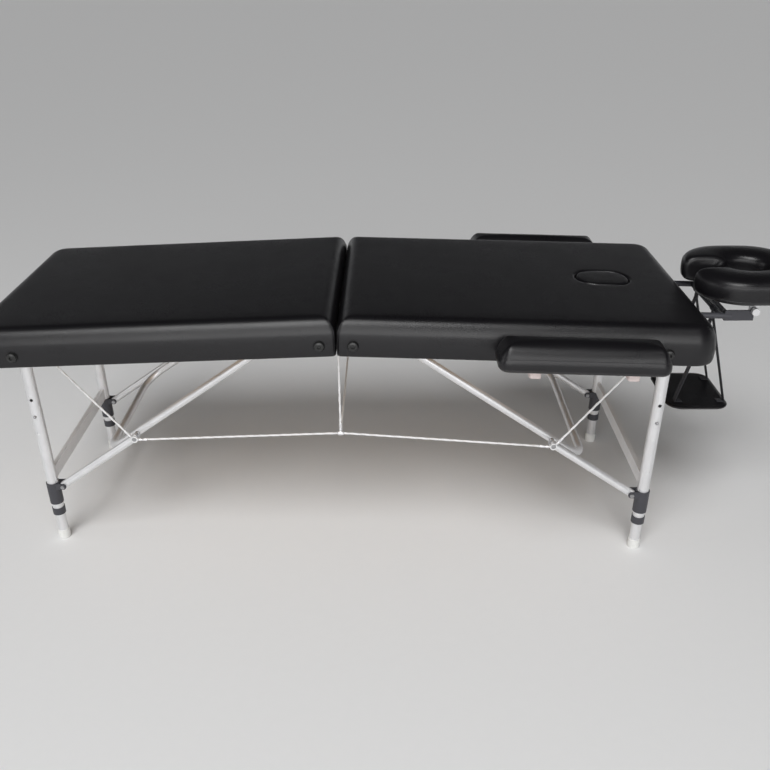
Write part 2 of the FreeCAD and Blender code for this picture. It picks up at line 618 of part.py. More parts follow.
# The cradle's cushion is a horseshoe, open towards the bed, with its two ends rounded.
def cradle_cushion():
    levels = [(CRADLE_BASE_Z + rise, inset) for rise, inset in CRADLE_FOOT]
    levels += [(CRADLE_BASE_Z + CRADLE_THICK - fall, inset) for fall, inset in CRADLE_EDGE]
    rx, ry = CRADLE_RADII
    x0 = CRADLE_CENTRE_X - rx
    x1 = CRADLE_CENTRE_X + rx
    wires = [rounded_wire(x0 + i, x1 - i, i - ry, ry - i, CRADLE_CORNER - i, z) for z, i in levels]
    shell = Part.makeLoft(wires, True, False)
    low = CRADLE_BASE_Z - OVERRUN
    high = low + 2 * CRADLE_THICK
    well = Part.Face(oval(*CRADLE_HOLE, low)).extrude(Vec(0, 0, high - low))
    gap = box(x0 - OVERRUN, CRADLE_CENTRE_X, -CRADLE_GAP, CRADLE_GAP, low, high)
    round_x = x0 + CRADLE_END_ROUND
    round_y = CRADLE_GAP + CRADLE_END_ROUND
    mouth = box(x0 - OVERRUN, round_x, -round_y, round_y, low, high)
    for y in (-round_y, round_y):
        mouth = mouth.cut(rod(2 * CRADLE_END_ROUND, Vec(round_x, y, low), Vec(round_x, y, high)))
    keep("cradle_cushion", shell.cut(well.fuse(gap).fuse(mouth)))


def shelf():
    x0, x1 = SHELF_SPAN
    shelf_top = SHELF_Z + SHELF_THICK
    keep("arm_shelf", slab(x0, x1, -SHELF_HALF_WIDTH, SHELF_HALF_WIDTH, SHELF_Z, shelf_top, SHELF_CORNER))
    bore = ROD_DIA + STRAP_SLACK
    low_y = -STRAP_Y - STRAP_HALF
    high_y = -STRAP_Y + STRAP_HALF
    strap = across(bore + 2 * STRAP_THICK, ROD_X, ROD_Z, low_y, high_y)
    half = STRAP_THICK / 2
    lower = ROD_Z - bore / 2 - half
    for foot_x in STRAP_FEET:
        corners = [Vec(ROD_X - half, low_y, lower), Vec(ROD_X + half, low_y, lower),
                   Vec(foot_x + half, low_y, shelf_top), Vec(foot_x - half, low_y, shelf_top)]
        tail = Part.Face(Part.makePolygon(corners + corners[:1]))
        strap = strap.fuse(tail.extrude(Y_AXIS * (high_y - low_y)))
    keep("shelf_straps", pair(strap.cut(across(bore, ROD_X, ROD_Z, low_y, high_y))))


def handle():
    rise = HANDLE_SPAN - HANDLE_RISE
    bend = HANDLE_SPAN - HANDLE_BEND
    foot = HANDLE_SPAN - HANDLE_FOOT
    inside = HANDLE_REACH - HANDLE_THICK
    outline = [(-HANDLE_SPAN, 0), (-rise, HANDLE_REACH), (rise, HANDLE_REACH), (HANDLE_SPAN, 0), (foot, 0),
               (bend, inside), (-bend, inside), (-foot, 0), (-HANDLE_SPAN, 0)]
    strap = Part.Face(Part.makePolygon([Vec(u, y, 0) for u, y in outline])).extrude(Vec(0, 0, HANDLE_WIDTH))
    for side in SIDES:
        keep(side + "_carry_handle", strap.translated(Vec(HANDLE_U, HALF_WIDTH - WRAP_INSET, HANDLE_W)), side)


for half_side in SIDES:
    rails(half_side)
    pads(half_side)
    bumpers(half_side)
    brackets(half_side)
    legs(half_side)
    braces(half_side)
    cables(half_side)
hinges()
centre_cords()
armrests()
plug()
head_end()
cradle_cushion()
shelf()
handle()

# The origin is on the floor under the middle of the whole bed.
whole = Part.makeCompound(list(parts.values())).optimalBoundingBox(False, False)
shift = Vec(-(whole.XMin + whole.XMax) / 2, -(whole.YMin + whole.YMax) / 2, -whole.ZMin)
os.makedirs("parts", exist_ok=True)
for name, shape in parts.items():
    shape.translate(shift)
    shape.exportStep("parts/" + name + ".step")
    print(name, shape.isValid(), len(shape.Solids), round(shape.Volume))
print("shift", shift, "box", whole.XLength, whole.YLength, whole.ZLength)
print("brace lengths", UPPER_LENGTH, LOWER_LENGTH, "elbow", elbow, "lug", lug_rest)
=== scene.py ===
import bpy
import bmesh
import json
import math
from mathutils import Matrix, Vector


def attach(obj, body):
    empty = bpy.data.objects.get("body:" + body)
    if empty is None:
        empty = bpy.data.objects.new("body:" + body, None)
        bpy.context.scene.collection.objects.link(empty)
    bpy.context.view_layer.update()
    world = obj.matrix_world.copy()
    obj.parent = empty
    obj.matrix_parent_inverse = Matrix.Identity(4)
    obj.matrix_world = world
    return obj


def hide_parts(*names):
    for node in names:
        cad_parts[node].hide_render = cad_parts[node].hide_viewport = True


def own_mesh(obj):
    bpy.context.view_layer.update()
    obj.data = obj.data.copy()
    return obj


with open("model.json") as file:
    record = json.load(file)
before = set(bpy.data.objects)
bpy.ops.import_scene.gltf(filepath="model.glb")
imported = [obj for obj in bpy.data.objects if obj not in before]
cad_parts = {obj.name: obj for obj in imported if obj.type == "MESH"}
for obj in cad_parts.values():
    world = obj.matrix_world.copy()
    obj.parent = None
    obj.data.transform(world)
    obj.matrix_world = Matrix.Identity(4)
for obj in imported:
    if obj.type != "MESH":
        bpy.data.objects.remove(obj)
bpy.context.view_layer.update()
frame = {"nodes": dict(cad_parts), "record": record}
nodes = frame["nodes"]
scene = bpy.context.scene
print("frame loaded,", len(nodes), "nodes")

# where the two halves meet and how far each one slopes away, taken from the centre hinge
bed = {"hingeX": -0.155268, "hingeZ": 0.610, "slope": math.radians(2.0)}
slopeCos = math.cos(bed["slope"])
slopeSin = math.sin(bed["slope"])


# a spot on a half (out from the hinge, across, up from the frame's lower edge) in the shared frame
def onHalf(side, u, y, w):
    x = u * slopeCos + w * slopeSin
    z = bed["hingeZ"] - u * slopeSin + w * slopeCos
    return Vector((bed["hingeX"] + (x if side == "right" else -x), y, z))


# the two directions of a half, out from the hinge and up
def halfWays(side):
    flip = 1.0 if side == "right" else -1.0
    return Vector((flip * slopeCos, 0.0, -slopeSin)), Vector((flip * slopeSin, 0.0, slopeCos))


def newPiece(name, bm, *materials, smooth=True):
    mesh = bpy.data.meshes.new(name)
    bmesh.ops.recalc_face_normals(bm, faces=bm.faces)
    bm.to_mesh(mesh)
    bm.free()
    for face in mesh.polygons:
        face.use_smooth = smooth
    piece = bpy.data.objects.new(name, mesh)
    scene.collection.objects.link(piece)
    for material in materials:
        mesh.materials.append(material)
    return piece


def applyModifiers(piece):
    bpy.context.view_layer.update()
    shaped = piece.evaluated_get(bpy.context.evaluated_depsgraph_get())
    mesh = bpy.data.meshes.new_from_object(shaped)
    piece.modifiers.clear()
    piece.data = mesh


# shader helpers
def addNode(tree, kind, at, **sockets):
    node = tree.nodes.new(kind)
    node.location = at
    for name, value in sockets.items():
        node.inputs[name.replace("_", " ")].default_value = value
    return node


# every surface effect takes its own inputs and gives a colour, a roughness and a height
def startGroup(name, inputs):
    tree = bpy.data.node_groups.new(name, "ShaderNodeTree")
    for label, value in inputs:
        kind = "NodeSocketColor" if isinstance(value, tuple) else "NodeSocketFloat"
        socket = tree.interface.new_socket(label, in_out="INPUT", socket_type=kind)
        socket.default_value = value
    for label in ("Colour", "Roughness", "Height"):
        kind = "NodeSocketColor" if label == "Colour" else "NodeSocketFloat"
        tree.interface.new_socket(label, in_out="OUTPUT", socket_type=kind)
    return tree, tree.nodes.new("NodeGroupInput"), tree.nodes.new("NodeGroupOutput")


def link(tree, *pairs):
    for start, end in pairs:
        tree.links.new(start, end)


def linkPlace(tree, place, *textures):
    for texture in textures:
        tree.links.new(place, texture.inputs["Vector"])


# closes an effect: its colour made lighter or darker, with its roughness and height
def endGroup(tree, start, end, lift, rough, height, at):
    tint = addNode(tree, "ShaderNodeVectorMath", at)
    tint.operation = "SCALE"
    link(tree, (start.outputs["Colour"], tint.inputs[0]), (lift.outputs[0], tint.inputs["Scale"]),
         (tint.outputs[0], end.inputs["Colour"]), (rough.outputs[0], end.inputs["Roughness"]),
         (height, end.inputs["Height"]))
    return tree


def mathNode(tree, operation, at, first=None, second=None):
    node = tree.nodes.new("ShaderNodeMath")
    node.operation = operation
    node.location = at
    for index, value in enumerate((first, second)):
        if isinstance(value, (int, float)):
            node.inputs[index].default_value = value
        elif value is not None:
            tree.links.new(value, node.inputs[index])
    return node


# pebbled hide: small cells with creases, a soft colour drift and a roughness that follows both
def leatherGroup():
    tree, start, end = startGroup(
        "hideGrain",
        [("Colour", (0.02, 0.02, 0.02, 1.0)), ("Grain size", 420.0), ("Drift", 0.25), ("Roughness", 0.4)])
    place = addNode(tree, "ShaderNodeTexCoord", (-900, 0))
    cells = addNode(tree, "ShaderNodeTexVoronoi", (-650, 150))
    cells.feature = "DISTANCE_TO_EDGE"
    fine = addNode(tree, "ShaderNodeTexNoise", (-650, -100), Scale=900.0, Detail=3.0)
    broad = addNode(tree, "ShaderNodeTexNoise", (-650, -320), Scale=7.0, Detail=4.0)
    crease = addNode(tree, "ShaderNodeMapRange", (-420, 150))
    crease.inputs["From Max"].default_value = 0.28
    linkPlace(tree, place.outputs["Object"], cells, fine, broad)
    link(tree, (start.outputs["Grain size"], cells.inputs["Scale"]),
         (cells.outputs["Distance"], crease.inputs["Value"]))
    dust = mathNode(tree, "MULTIPLY", (-420, -100), fine.outputs["Fac"], 0.35)
    height = mathNode(tree, "ADD", (-200, 100), crease.outputs["Result"], dust.outputs[0])
    swing = mathNode(tree, "SUBTRACT", (-420, -320), broad.outputs["Fac"], 0.5)
    gain = mathNode(tree, "MULTIPLY", (-250, -320), swing.outputs[0], start.outputs["Drift"])
    lift = mathNode(tree, "ADD", (-100, -320), gain.outputs[0], 1.0)
    low = mathNode(tree, "MULTIPLY", (-100, -480), crease.outputs["Result"], -0.07)
    rough = mathNode(tree, "ADD", (60, -420), start.outputs["Roughness"], low.outputs[0])
    roughEnd = mathNode(tree, "ADD", (220, -420), rough.outputs[0], gain.outputs[0])
    return endGroup(tree, start, end, lift, roughEnd, height.outputs[0], (60, -200))


# fine lines drawn along one direction, with handling marks
def drawnMetalGroup():
    tree, start, end = startGroup(
        "drawnMetal",
        [("Colour", (0.8, 0.8, 0.8, 1.0)), ("Stretch X", 1.0), ("Stretch Z", 0.02), ("Roughness", 0.3)])
    place = addNode(tree, "ShaderNodeTexCoord", (-1000, 0))
    stretch = addNode(tree, "ShaderNodeCombineXYZ", (-1000, -250))
    stretch.inputs["Y"].default_value = 1.0
    scaled = addNode(tree, "ShaderNodeVectorMath", (-800, 0))
    scaled.operation = "MULTIPLY"
    lines = addNode(tree, "ShaderNodeTexNoise", (-600, 100), Scale=1500.0, Detail=2.0)
    marks = addNode(tree, "ShaderNodeTexNoise", (-600, -150), Scale=26.0, Detail=5.0)
    link(tree, (start.outputs["Stretch X"], stretch.inputs["X"]),
         (start.outputs["Stretch Z"], stretch.inputs["Z"]),
         (place.outputs["Object"], scaled.inputs[0]), (stretch.outputs[0], scaled.inputs[1]),
         (scaled.outputs[0], lines.inputs["Vector"]), (place.outputs["Object"], marks.inputs["Vector"]))
    swing = mathNode(tree, "SUBTRACT", (-400, 100), lines.outputs["Fac"], 0.5)
    worn = mathNode(tree, "SUBTRACT", (-400, -150), marks.outputs["Fac"], 0.5)
    both = mathNode(tree, "ADD", (-220, 0), swing.outputs[0], worn.outputs[0])
    part = mathNode(tree, "MULTIPLY", (-60, 0), both.outputs[0], 0.16)
    lift = mathNode(tree, "ADD", (100, 0), part.outputs[0], 1.0)
    rough = mathNode(tree, "ADD", (100, -200), start.outputs["Roughness"], part.outputs[0])
    return endGroup(tree, start, end, lift, rough, lines.outputs["Fac"], (280, 0))


# spark-eroded mould skin: fine pimples and a faint cloudiness
def mouldedGroup():
    tree, start, end = startGroup(
        "mouldSkin",
        [("Colour", (0.05, 0.05, 0.05, 1.0)), ("Grain size", 1400.0), ("Cloud", 0.2), ("Roughness", 0.5)])
    place = addNode(tree, "ShaderNodeTexCoord", (-800, 0))
    grain = addNode(tree, "ShaderNodeTexNoise", (-600, 100), Detail=2.0)
    cloud = addNode(tree, "ShaderNodeTexNoise", (-600, -150), Scale=40.0, Detail=4.0)
    linkPlace(tree, place.outputs["Object"], grain, cloud)
    link(tree, (start.outputs["Grain size"], grain.inputs["Scale"]))
    swing = mathNode(tree, "SUBTRACT", (-400, -150), cloud.outputs["Fac"], 0.5)
    gain = mathNode(tree, "MULTIPLY", (-240, -150), swing.outputs[0], start.outputs["Cloud"])
    lift = mathNode(tree, "ADD", (-80, -50), gain.outputs[0], 1.0)
    rough = mathNode(tree, "ADD", (-80, -250), start.outputs["Roughness"], gain.outputs[0])
    return endGroup(tree, start, end, lift, rough, grain.outputs["Fac"], (80, 0))


# long grain and rings of a planed board
def boardGroup():
    tree, start, end = startGroup(
        "boardGrain",
        [("Pale", (0.62, 0.45, 0.27, 1.0)), ("Dark", (0.38, 0.24, 0.12, 1.0)), ("Roughness", 0.5)])
    place = addNode(tree, "ShaderNodeTexCoord", (-1000, 0))
    squeeze = addNode(tree, "ShaderNodeMapping", (-820, 0))
    squeeze.inputs["Scale"].default_value = (3.0, 38.0, 38.0)
    rings = addNode(tree, "ShaderNodeTexNoise", (-600, 100), Scale=2.0, Detail=6.0, Distortion=0.7)
    pores = addNode(tree, "ShaderNodeTexNoise", (-600, -150), Scale=22.0, Detail=3.0)
    mixed = addNode(tree, "ShaderNodeMix", (-300, 100))
    mixed.data_type = "RGBA"
    rough = mathNode(tree, "MULTIPLY", (-400, -150), pores.outputs["Fac"], 0.25)
    roughEnd = mathNode(tree, "ADD", (-220, -150), start.outputs["Roughness"], rough.outputs[0])
    linkPlace(tree, place.outputs["Object"], squeeze)
    linkPlace(tree, squeeze.outputs[0], rings, pores)
    link(tree, (rings.outputs["Fac"], mixed.inputs["Factor"]),
         (start.outputs["Pale"], mixed.inputs["A"]), (start.outputs["Dark"], mixed.inputs["B"]),
         (mixed.outputs["Result"], end.inputs["Colour"]), (roughEnd.outputs[0], end.inputs["Roughness"]),
         (pores.outputs["Fac"], end.inputs["Height"]))
    return tree


# plain weave of a flat strap; its colour is darker in the low gaps between threads, painted shade
def weaveGroup():
    tree, start, end = startGroup(
        "strapWeave",
        [("Colour", (0.03, 0.03, 0.035, 1.0)), ("Thread size", 900.0), ("Roughness", 0.75)])
    place = addNode(tree, "ShaderNodeTexCoord", (-900, 0))
    waves = []
    for index, direction in enumerate(("X", "Z")):
        wave = addNode(tree, "ShaderNodeTexWave", (-650, 150 - 300 * index), Distortion=0.4)
        wave.bands_direction = direction
        linkPlace(tree, place.outputs["Object"], wave)
        link(tree, (start.outputs["Thread size"], wave.inputs["Scale"]))
        waves.append(wave)
    height = mathNode(tree, "MAXIMUM", (-400, 0), waves[0].outputs["Fac"], waves[1].outputs["Fac"])
    # darker where the weave is low: painted shade between the threads
    shade = mathNode(tree, "MULTIPLY", (-240, 0), height.outputs[0], 0.6)
    lift = mathNode(tree, "ADD", (-80, 0), shade.outputs[0], 0.7)
    rough = mathNode(tree, "MULTIPLY", (-80, -200), lift.outputs[0], start.outputs["Roughness"])
    return endGroup(tree, start, end, lift, rough, height.outputs[0], (80, 0))


groups = {"hide": leatherGroup(), "drawn": drawnMetalGroup(), "mould": mouldedGroup(), "board": boardGroup(),
          "weave": weaveGroup()}


def finish(name, group, values, bump, metallic=0.0, coat=0.0, sheen=0.0, gloss=0.5):
    material = bpy.data.materials.new(name)
    material.use_nodes = True
    tree = material.node_tree
    shader = tree.nodes["Principled BSDF"]
    effect = tree.nodes.new("ShaderNodeGroup")
    effect.node_tree = groups[group]
    effect.location = (-500, 100)
    for label, value in values.items():
        effect.inputs[label].default_value = value
    relief = tree.nodes.new("ShaderNodeBump")
    relief.location = (-250, -150)
    relief.inputs["Strength"].default_value = bump[0]
    relief.inputs["Distance"].default_value = bump[1]
    link(tree, (effect.outputs["Colour"], shader.inputs["Base Color"]),
         (effect.outputs["Roughness"], shader.inputs["Roughness"]),
         (effect.outputs["Height"], relief.inputs["Height"]),
         (relief.outputs["Normal"], shader.inputs["Normal"]))
    shader.inputs["Metallic"].default_value = metallic
    shader.inputs["Coat Weight"].default_value = coat
    shader.inputs["Sheen Weight"].default_value = sheen
    shader.inputs["Specular IOR Level"].default_value = gloss
    return material


def grey(level, blue=0.0):
    return (level, level, level + blue, 1.0)


finishes = {
    "hide": finish("blackHide", "hide", {"Colour": (0.0056, 0.0051, 0.0063, 1.0), "Grain size": 420.0,
                                         "Drift": 0.18, "Roughness": 0.35}, (0.2, 0.0004), gloss=0.45),
    "welt": finish("hideWelt", "hide", {"Colour": (0.012, 0.011, 0.013, 1.0), "Grain size": 700.0,
                                        "Drift": 0.15, "Roughness": 0.38}, (0.2, 0.0003)),
    "thread": finish("seamThread", "weave", {"Colour": grey(0.028), "Thread size": 1800.0}, (0.4, 0.0003)),
    # near-black finish for the discs in the eyelet holes: painted shade inside the sockets
    "shade": finish("socketShade", "mould", {"Colour": grey(0.004), "Roughness": 0.7}, (0.1, 0.0002),
                    gloss=0.2),
    "alloy": finish("satinAlloy", "drawn", {"Colour": grey(0.80, 0.01), "Roughness": 0.40}, (0.08, 0.0002),
                    0.72),
    "flatBar": finish("anodisedBar", "drawn", {"Colour": grey(0.82, 0.01), "Roughness": 0.5}, (0.08, 0.0002),
                      0.15),
    "steel": finish("platedSteel", "drawn", {"Colour": grey(0.42, 0.01), "Stretch Z": 1.0, "Roughness": 0.36},
                    (0.1, 0.0002), 1.0),
    "plastic": finish("slatePlastic", "mould", {"Colour": grey(0.045, 0.008), "Roughness": 0.46},
                      (0.15, 0.0003)),
    "bumper": finish("bumperPlastic", "mould", {"Colour": grey(0.012), "Roughness": 0.30}, (0.15, 0.0003)),
    "foot": finish("paleFoot", "mould", {"Colour": (0.72, 0.72, 0.70, 1.0), "Roughness": 0.35}, (0.1, 0.0003)),
    "holder": finish("paleHolder", "mould", {"Colour": (0.62, 0.53, 0.51, 1.0), "Roughness": 0.42},
                     (0.1, 0.0003)),
    "cable": finish("coatedCable", "weave", {"Colour": grey(0.72), "Thread size": 700.0, "Roughness": 0.5},
                    (0.5, 0.0006)),
    "board": finish("planedBoard", "board", {}, (0.15, 0.0004)),
    "strap": finish("wovenStrap", "weave", {}, (0.5, 0.0005)),
}
print("finishes ready")

# finishes of the CAD nodes by the last words of their names
nodeFinish = {
    "side_rails": "board", "cross_rails": "board", "deck": "board", "bumpers": "bumper",
    "pivot_brackets": "steel", "pivot_bolts": "steel", "outer_legs": "alloy", "leg_sleeves": "plastic",
    "leg_collars": "plastic", "leg_crossbar": "flatBar", "inner_leg": "alloy", "foot_cap": "foot",
    "snap_button": "steel", "brace_hoop": "alloy", "lower_braces": "alloy", "brace_bolts": "steel",
    "stay_cables": "cable", "centre_cords": "cable", "hinge_leaves_left": "steel",
    "hinge_leaves_right": "steel", "hinge_pins": "steel", "armrest_holder": "holder",
    "headrest_frame": "plastic", "cradle_plate": "alloy", "cradle_bolts": "alloy",
}
for nodeName, node in nodes.items():
    for ending, finishName in nodeFinish.items():
        if nodeName.endswith(ending):
            node.data.materials.clear()
            node.data.materials.append(finishes[finishName])


# grid lines that are close together near both ends of a span
def gradedLine(low, high, edge, fineStep, coarseStep):
    fineCount = max(2, round(edge / fineStep))
    middle = high - low - 2 * edge
    coarseCount = max(2, round(middle / coarseStep))
    line = [low + edge * i / fineCount for i in range(fineCount)]
    line += [low + edge + middle * i / coarseCount for i in range(coarseCount)]
    line += [high - edge + edge * i / fineCount for i in range(fineCount + 1)]
    return line


# pulls the corner square of the grid round to a quarter disc
def roundCorner(a, b, radius, reach):
    a = min(a / reach, 1.0)
    b = min(b / reach, 1.0)
    return radius * a * math.sqrt(1 - b * b / 2), radius * b * math.sqrt(1 - a * a / 2)


def roundedSpot(u, y, box, radii):
    u0, u1, y0, y1 = box
    low = u < (u0 + u1) / 2
    radius = radii[0] if low else radii[1]
    fromU = (u0 + radius - u) if low else (u - u1 + radius)
    fromY = (y0 + radius - y) if y < (y0 + y1) / 2 else (y - y1 + radius)
    edge = min(u - u0, u1 - u, y - y0, y1 - y)
    if fromU > 0 and fromY > 0:
        a, b = roundCorner(fromU, fromY, radius, radius)
        u = (u0 + radius - a) if low else (u1 - radius + a)
        y = (y0 + radius - b) if y < (y0 + y1) / 2 else (y1 - radius + b)
        edge = radius - math.hypot(a, b)
    return u, y, max(edge, 0.0)


# height lost at a cushion's rounded rim, at a distance in from the outline; a power gives a slacker roll
def rimDrop(edge, rim, depth, crown, crownReach, power=None):
    drop = 0.0
    if edge < rim:
        inward = 1 - edge / rim
        drop += depth * (inward ** power if power else 1 - math.sqrt(max(0.0, 1 - inward * inward)))
    if edge < crownReach:
        drop += crown * (1 - edge / crownReach) ** 2
    return drop


# a boxed cushion: domed top, side walls in rings, an inner lining, and a through hole where one is asked for
def boxedCushion(shape, place):
    u0, u1, y0, y1 = shape["box"]
    lineU = gradedLine(u0, u1, shape["edge"], shape["fine"], shape["coarse"])
    lineY = gradedLine(y0, y1, shape["edge"], shape["fine"], shape["coarse"])
    hole = shape.get("hole")
    if hole:
        lineU = alignLine(lineU, hole["u"] - hole["length"] / 2, hole["u"] + hole["length"] / 2, hole["lines"])
        lineY = alignLine(lineY, -hole["width"] / 2, hole["width"] / 2, hole["lines"])
    bm = bmesh.new()
    top, low = {}, {}
    inU0, inU1, inY = shape["lining"]
    for i, u in enumerate(lineU):
        for j, y in enumerate(lineY):
            hu, hy, holeEdge = holePull(u, y, hole)
            if hole and holeEdge < -1e-6:
                continue
            ru, ry, edge = roundedSpot(hu, hy, shape["box"], shape["radii"])
            drop = rimDrop(edge, shape["rim"], shape["rimDepth"], shape["crown"], shape["crownReach"],
                           shape.get("power"))
            if hole:
                drop += rimDrop(holeEdge, hole["rim"], hole["rim"], 0.0, 1.0)
            top[i, j] = bm.verts.new((ru, ry, shape["top"] - drop))
            su = u0 + inU0 + (ru - u0) / (u1 - u0) * (u1 - u0 - inU0 - inU1)
            sy = (y0 + y1) / 2 + (ry - (y0 + y1) / 2) * (1 - 2 * inY / (y1 - y0))
            low[i, j] = bm.verts.new((su, sy, shape["base"]))
    lastU = len(lineU) - 1
    lastY = len(lineY) - 1
    for sheet in (top, low):
        for i in range(lastU):
            for j in range(lastY):
                corners = [(i, j), (i + 1, j), (i + 1, j + 1), (i, j + 1)]
                if all(c in sheet for c in corners):
                    if hole and insideHole(corners, lineU, lineY, hole):
                        continue
                    bm.faces.new([sheet[c] for c in corners])
    ring = [(i, 0) for i in range(lastU)] + [(lastU, j) for j in range(lastY)]
    ring += [(i, lastY) for i in range(lastU, 0, -1)] + [(0, j) for j in range(lastY, 0, -1)]
    stripRings(bm, [top[c] for c in ring], shape, [low[c] for c in ring])
    if hole:
        a, b, c, d = holeSpan(lineU, lineY, hole)
        loop = [(i, c) for i in range(a, b)] + [(b, j) for j in range(c, d)]
        loop += [(i, d) for i in range(b, a, -1)] + [(a, j) for j in range(d, c, -1)]
        bridge(bm, [top[k] for k in loop], [low[k] for k in loop])
    for vert in bm.verts:
        vert.co = place(vert.co.x, vert.co.y, vert.co.z)
    return bm


# outward direction of a rounded outline at one of its spots
def outlineWay(u, y, box, radii):
    u0, u1, y0, y1 = box
    radius = radii[0] if u < (u0 + u1) / 2 else radii[1]
    middle = Vector((min(max(u, u0 + radius), u1 - radius), min(max(y, y0 + radius), y1 - radius), 0.0))
    return (Vector((u, y, 0.0)) - middle).normalized()


# side walls: each row gives its height and how far it stands in from the outline
def stripRings(bm, topLoop, shape, lowLoop):
    ways = [outlineWay(v.co.x, v.co.y, shape["box"], shape["radii"]) for v in topLoop]
    fit = shape.get("wallFit", lambda spot, way, inset: inset)
    previous = topLoop
    for height, inset in shape["walls"]:
        current = []
        for vert, way in zip(topLoop, ways):
            spot = Vector((vert.co.x, vert.co.y, height))
            current.append(bm.verts.new(spot - way * fit(spot, way, inset)))
        bridge(bm, previous, current)
        previous = current
    bridge(bm, previous, lowLoop)


def bridge(bm, first, second):
    count = len(first)
    for k in range(count):
        following = (k + 1) % count
        bm.faces.new((first[k], first[following], second[following], second[k]))


# moves the nearest grid lines on to the hole's sides and adds more lines close outside them
def alignLine(line, low, high, extra):
    line = list(line)
    for target in (low, high):
        nearest = min(range(len(line)), key=lambda k: abs(line[k] - target))
        line[nearest] = target
    return sorted(line + [low - away for away in extra] + [high + away for away in extra])


def holeSpan(lineU, lineY, hole):
    near = lambda line, value: min(range(len(line)), key=lambda k: abs(line[k] - value))
    return (near(lineU, hole["u"] - hole["length"] / 2), near(lineU, hole["u"] + hole["length"] / 2),
            near(lineY, -hole["width"] / 2), near(lineY, hole["width"] / 2))


def insideHole(corners, lineU, lineY, hole):
    middleU = sum(lineU[c[0]] for c in corners) / 4
    middleY = sum(lineY[c[1]] for c in corners) / 4
    return abs(middleU - hole["u"]) < hole["length"] / 2 and abs(middleY) < hole["width"] / 2


# draws the square cut-out in the grid round to the hole's oval; also gives the distance out from its edge
def holePull(u, y, hole):
    if not hole:
        return u, y, 1.0
    halfLength = hole["length"] / 2
    halfWidth = hole["width"] / 2
    du = u - hole["u"]
    square = max(abs(du) / halfLength, abs(y) / halfWidth)
    if square < 1 - 1e-6:
        return u, y, -1.0
    straight = halfLength - halfWidth
    reachU = du / square
    reachY = y / square
    over = max(abs(reachU) - straight, 0.0)
    far = math.hypot(over, reachY)
    ratio = 1.0
    if over > 0 and far > halfWidth:
        # the ray from the middle meets the round end
        low, high = 0.3, 1.0
        for step in range(24):
            ratio = (low + high) / 2
            beyond = max(abs(reachU * ratio) - straight, 0.0)
            if math.hypot(beyond, reachY * ratio) > halfWidth:
                high = ratio
            else:
                low = ratio
    fade = max(0.0, 1 - (square - 1) / 0.9)
    scale = 1 + (ratio - 1) * fade * fade * (3 - 2 * fade)
    pulledU = du * scale
    pulledY = y * scale
    over = max(abs(pulledU) - straight, 0.0)
    return hole["u"] + pulledU, pulledY, max(0.0, math.hypot(over, pulledY) - halfWidth)


stuffing = {"quality": 4, "mass": 0.3, "stiffness": 18.0, "bending": 2.0, "frames": 20}


# blows the cover up like stuffed hide; vertices that the test holds stay, and no other moves past the cap
def puffCover(piece, held, pressure, cap):
    group = piece.vertex_groups.new(name="held")
    restSpots = [v.co.copy() for v in piece.data.vertices]
    group.add([i for i, spot in enumerate(restSpots) if held(spot)], 1.0, "REPLACE")
    cloth = piece.modifiers.new("cover", "CLOTH")
    cloth.settings.vertex_group_mass = "held"
    cloth.settings.quality = stuffing["quality"]
    cloth.settings.mass = stuffing["mass"]
    cloth.settings.tension_stiffness = stuffing["stiffness"]
    cloth.settings.compression_stiffness = stuffing["stiffness"]
    cloth.settings.bending_stiffness = stuffing["bending"]
    cloth.settings.use_pressure = True
    cloth.settings.uniform_pressure_force = pressure
    cloth.settings.effector_weights.gravity = 0.0
    cloth.collision_settings.use_collision = False
    cloth.point_cache.frame_start = 1
    cloth.point_cache.frame_end = stuffing["frames"]
    for step in range(1, stuffing["frames"] + 1):
        scene.frame_set(step)
    shaped = piece.evaluated_get(bpy.context.evaluated_depsgraph_get())
    moved = [v.co.copy() for v in shaped.data.vertices]
    piece.modifiers.remove(cloth)
    scene.frame_set(1)
    for vert, start, end in zip(piece.data.vertices, restSpots, moved):
        shift = end - start
        if shift.length > cap:
            shift *= cap / shift.length
        vert.co = start + shift
    piece.vertex_groups.clear()


softening = {"factor": 0.4, "rounds": 3}


def soften(piece, loose=None):
    relax = piece.modifiers.new("relax", "SMOOTH")
    relax.factor = softening["factor"]
    relax.iterations = softening["rounds"]
    if loose:
        group = piece.vertex_groups.new(name="loose")
        group.add([v.index for v in piece.data.vertices if loose(v.co)], 1.0, "REPLACE")
        relax.vertex_group = "loose"
    rounder = piece.modifiers.new("rounder", "SUBSURF")
    rounder.levels = 1
    rounder.render_levels = 1
    applyModifiers(piece)
    piece.vertex_groups.clear()
    for face in piece.data.polygons:
        face.use_smooth = True


# even spots round a rounded outline, as (u, y)
def outlineLoop(box, radii, step):
    u0, u1, y0, y1 = box
    bends = [(u1 - radii[1], y1 - radii[1], radii[1], 0), (u0 + radii[0], y1 - radii[0], radii[0], 90),
             (u0 + radii[0], y0 + radii[0], radii[0], 180), (u1 - radii[1], y0 + radii[1], radii[1], 270)]
    corners = []
    for u, y, radius, start in bends:
        for k in range(13):
            angle = math.radians(start + 7.5 * k)
            corners.append(Vector((u + radius * math.cos(angle), y + radius * math.sin(angle))))
    corners.append(corners[0])
    total = sum((b - a).length for a, b in zip(corners, corners[1:]))
    count = max(8, round(total / step))
    spots = []
    walked = 0.0
    for first, second in zip(corners, corners[1:]):
        run = (second - first).length
        while len(spots) < count and len(spots) * total / count <= walked + run:
            share = (len(spots) * total / count - walked) / run if run else 0.0
            spots.append(first.lerp(second, share))
        walked += run
    return spots


# one stitch: a small rounded bar of thread
stitch = {"long": 0.0036, "thick": 0.0009, "pitch": 0.0055, "aside": 0.0034, "lift": 0.0001}
seam = {"step": 0.0028, "welt": 0.0011, "tall": 0.8, "sunk": 0.0003}


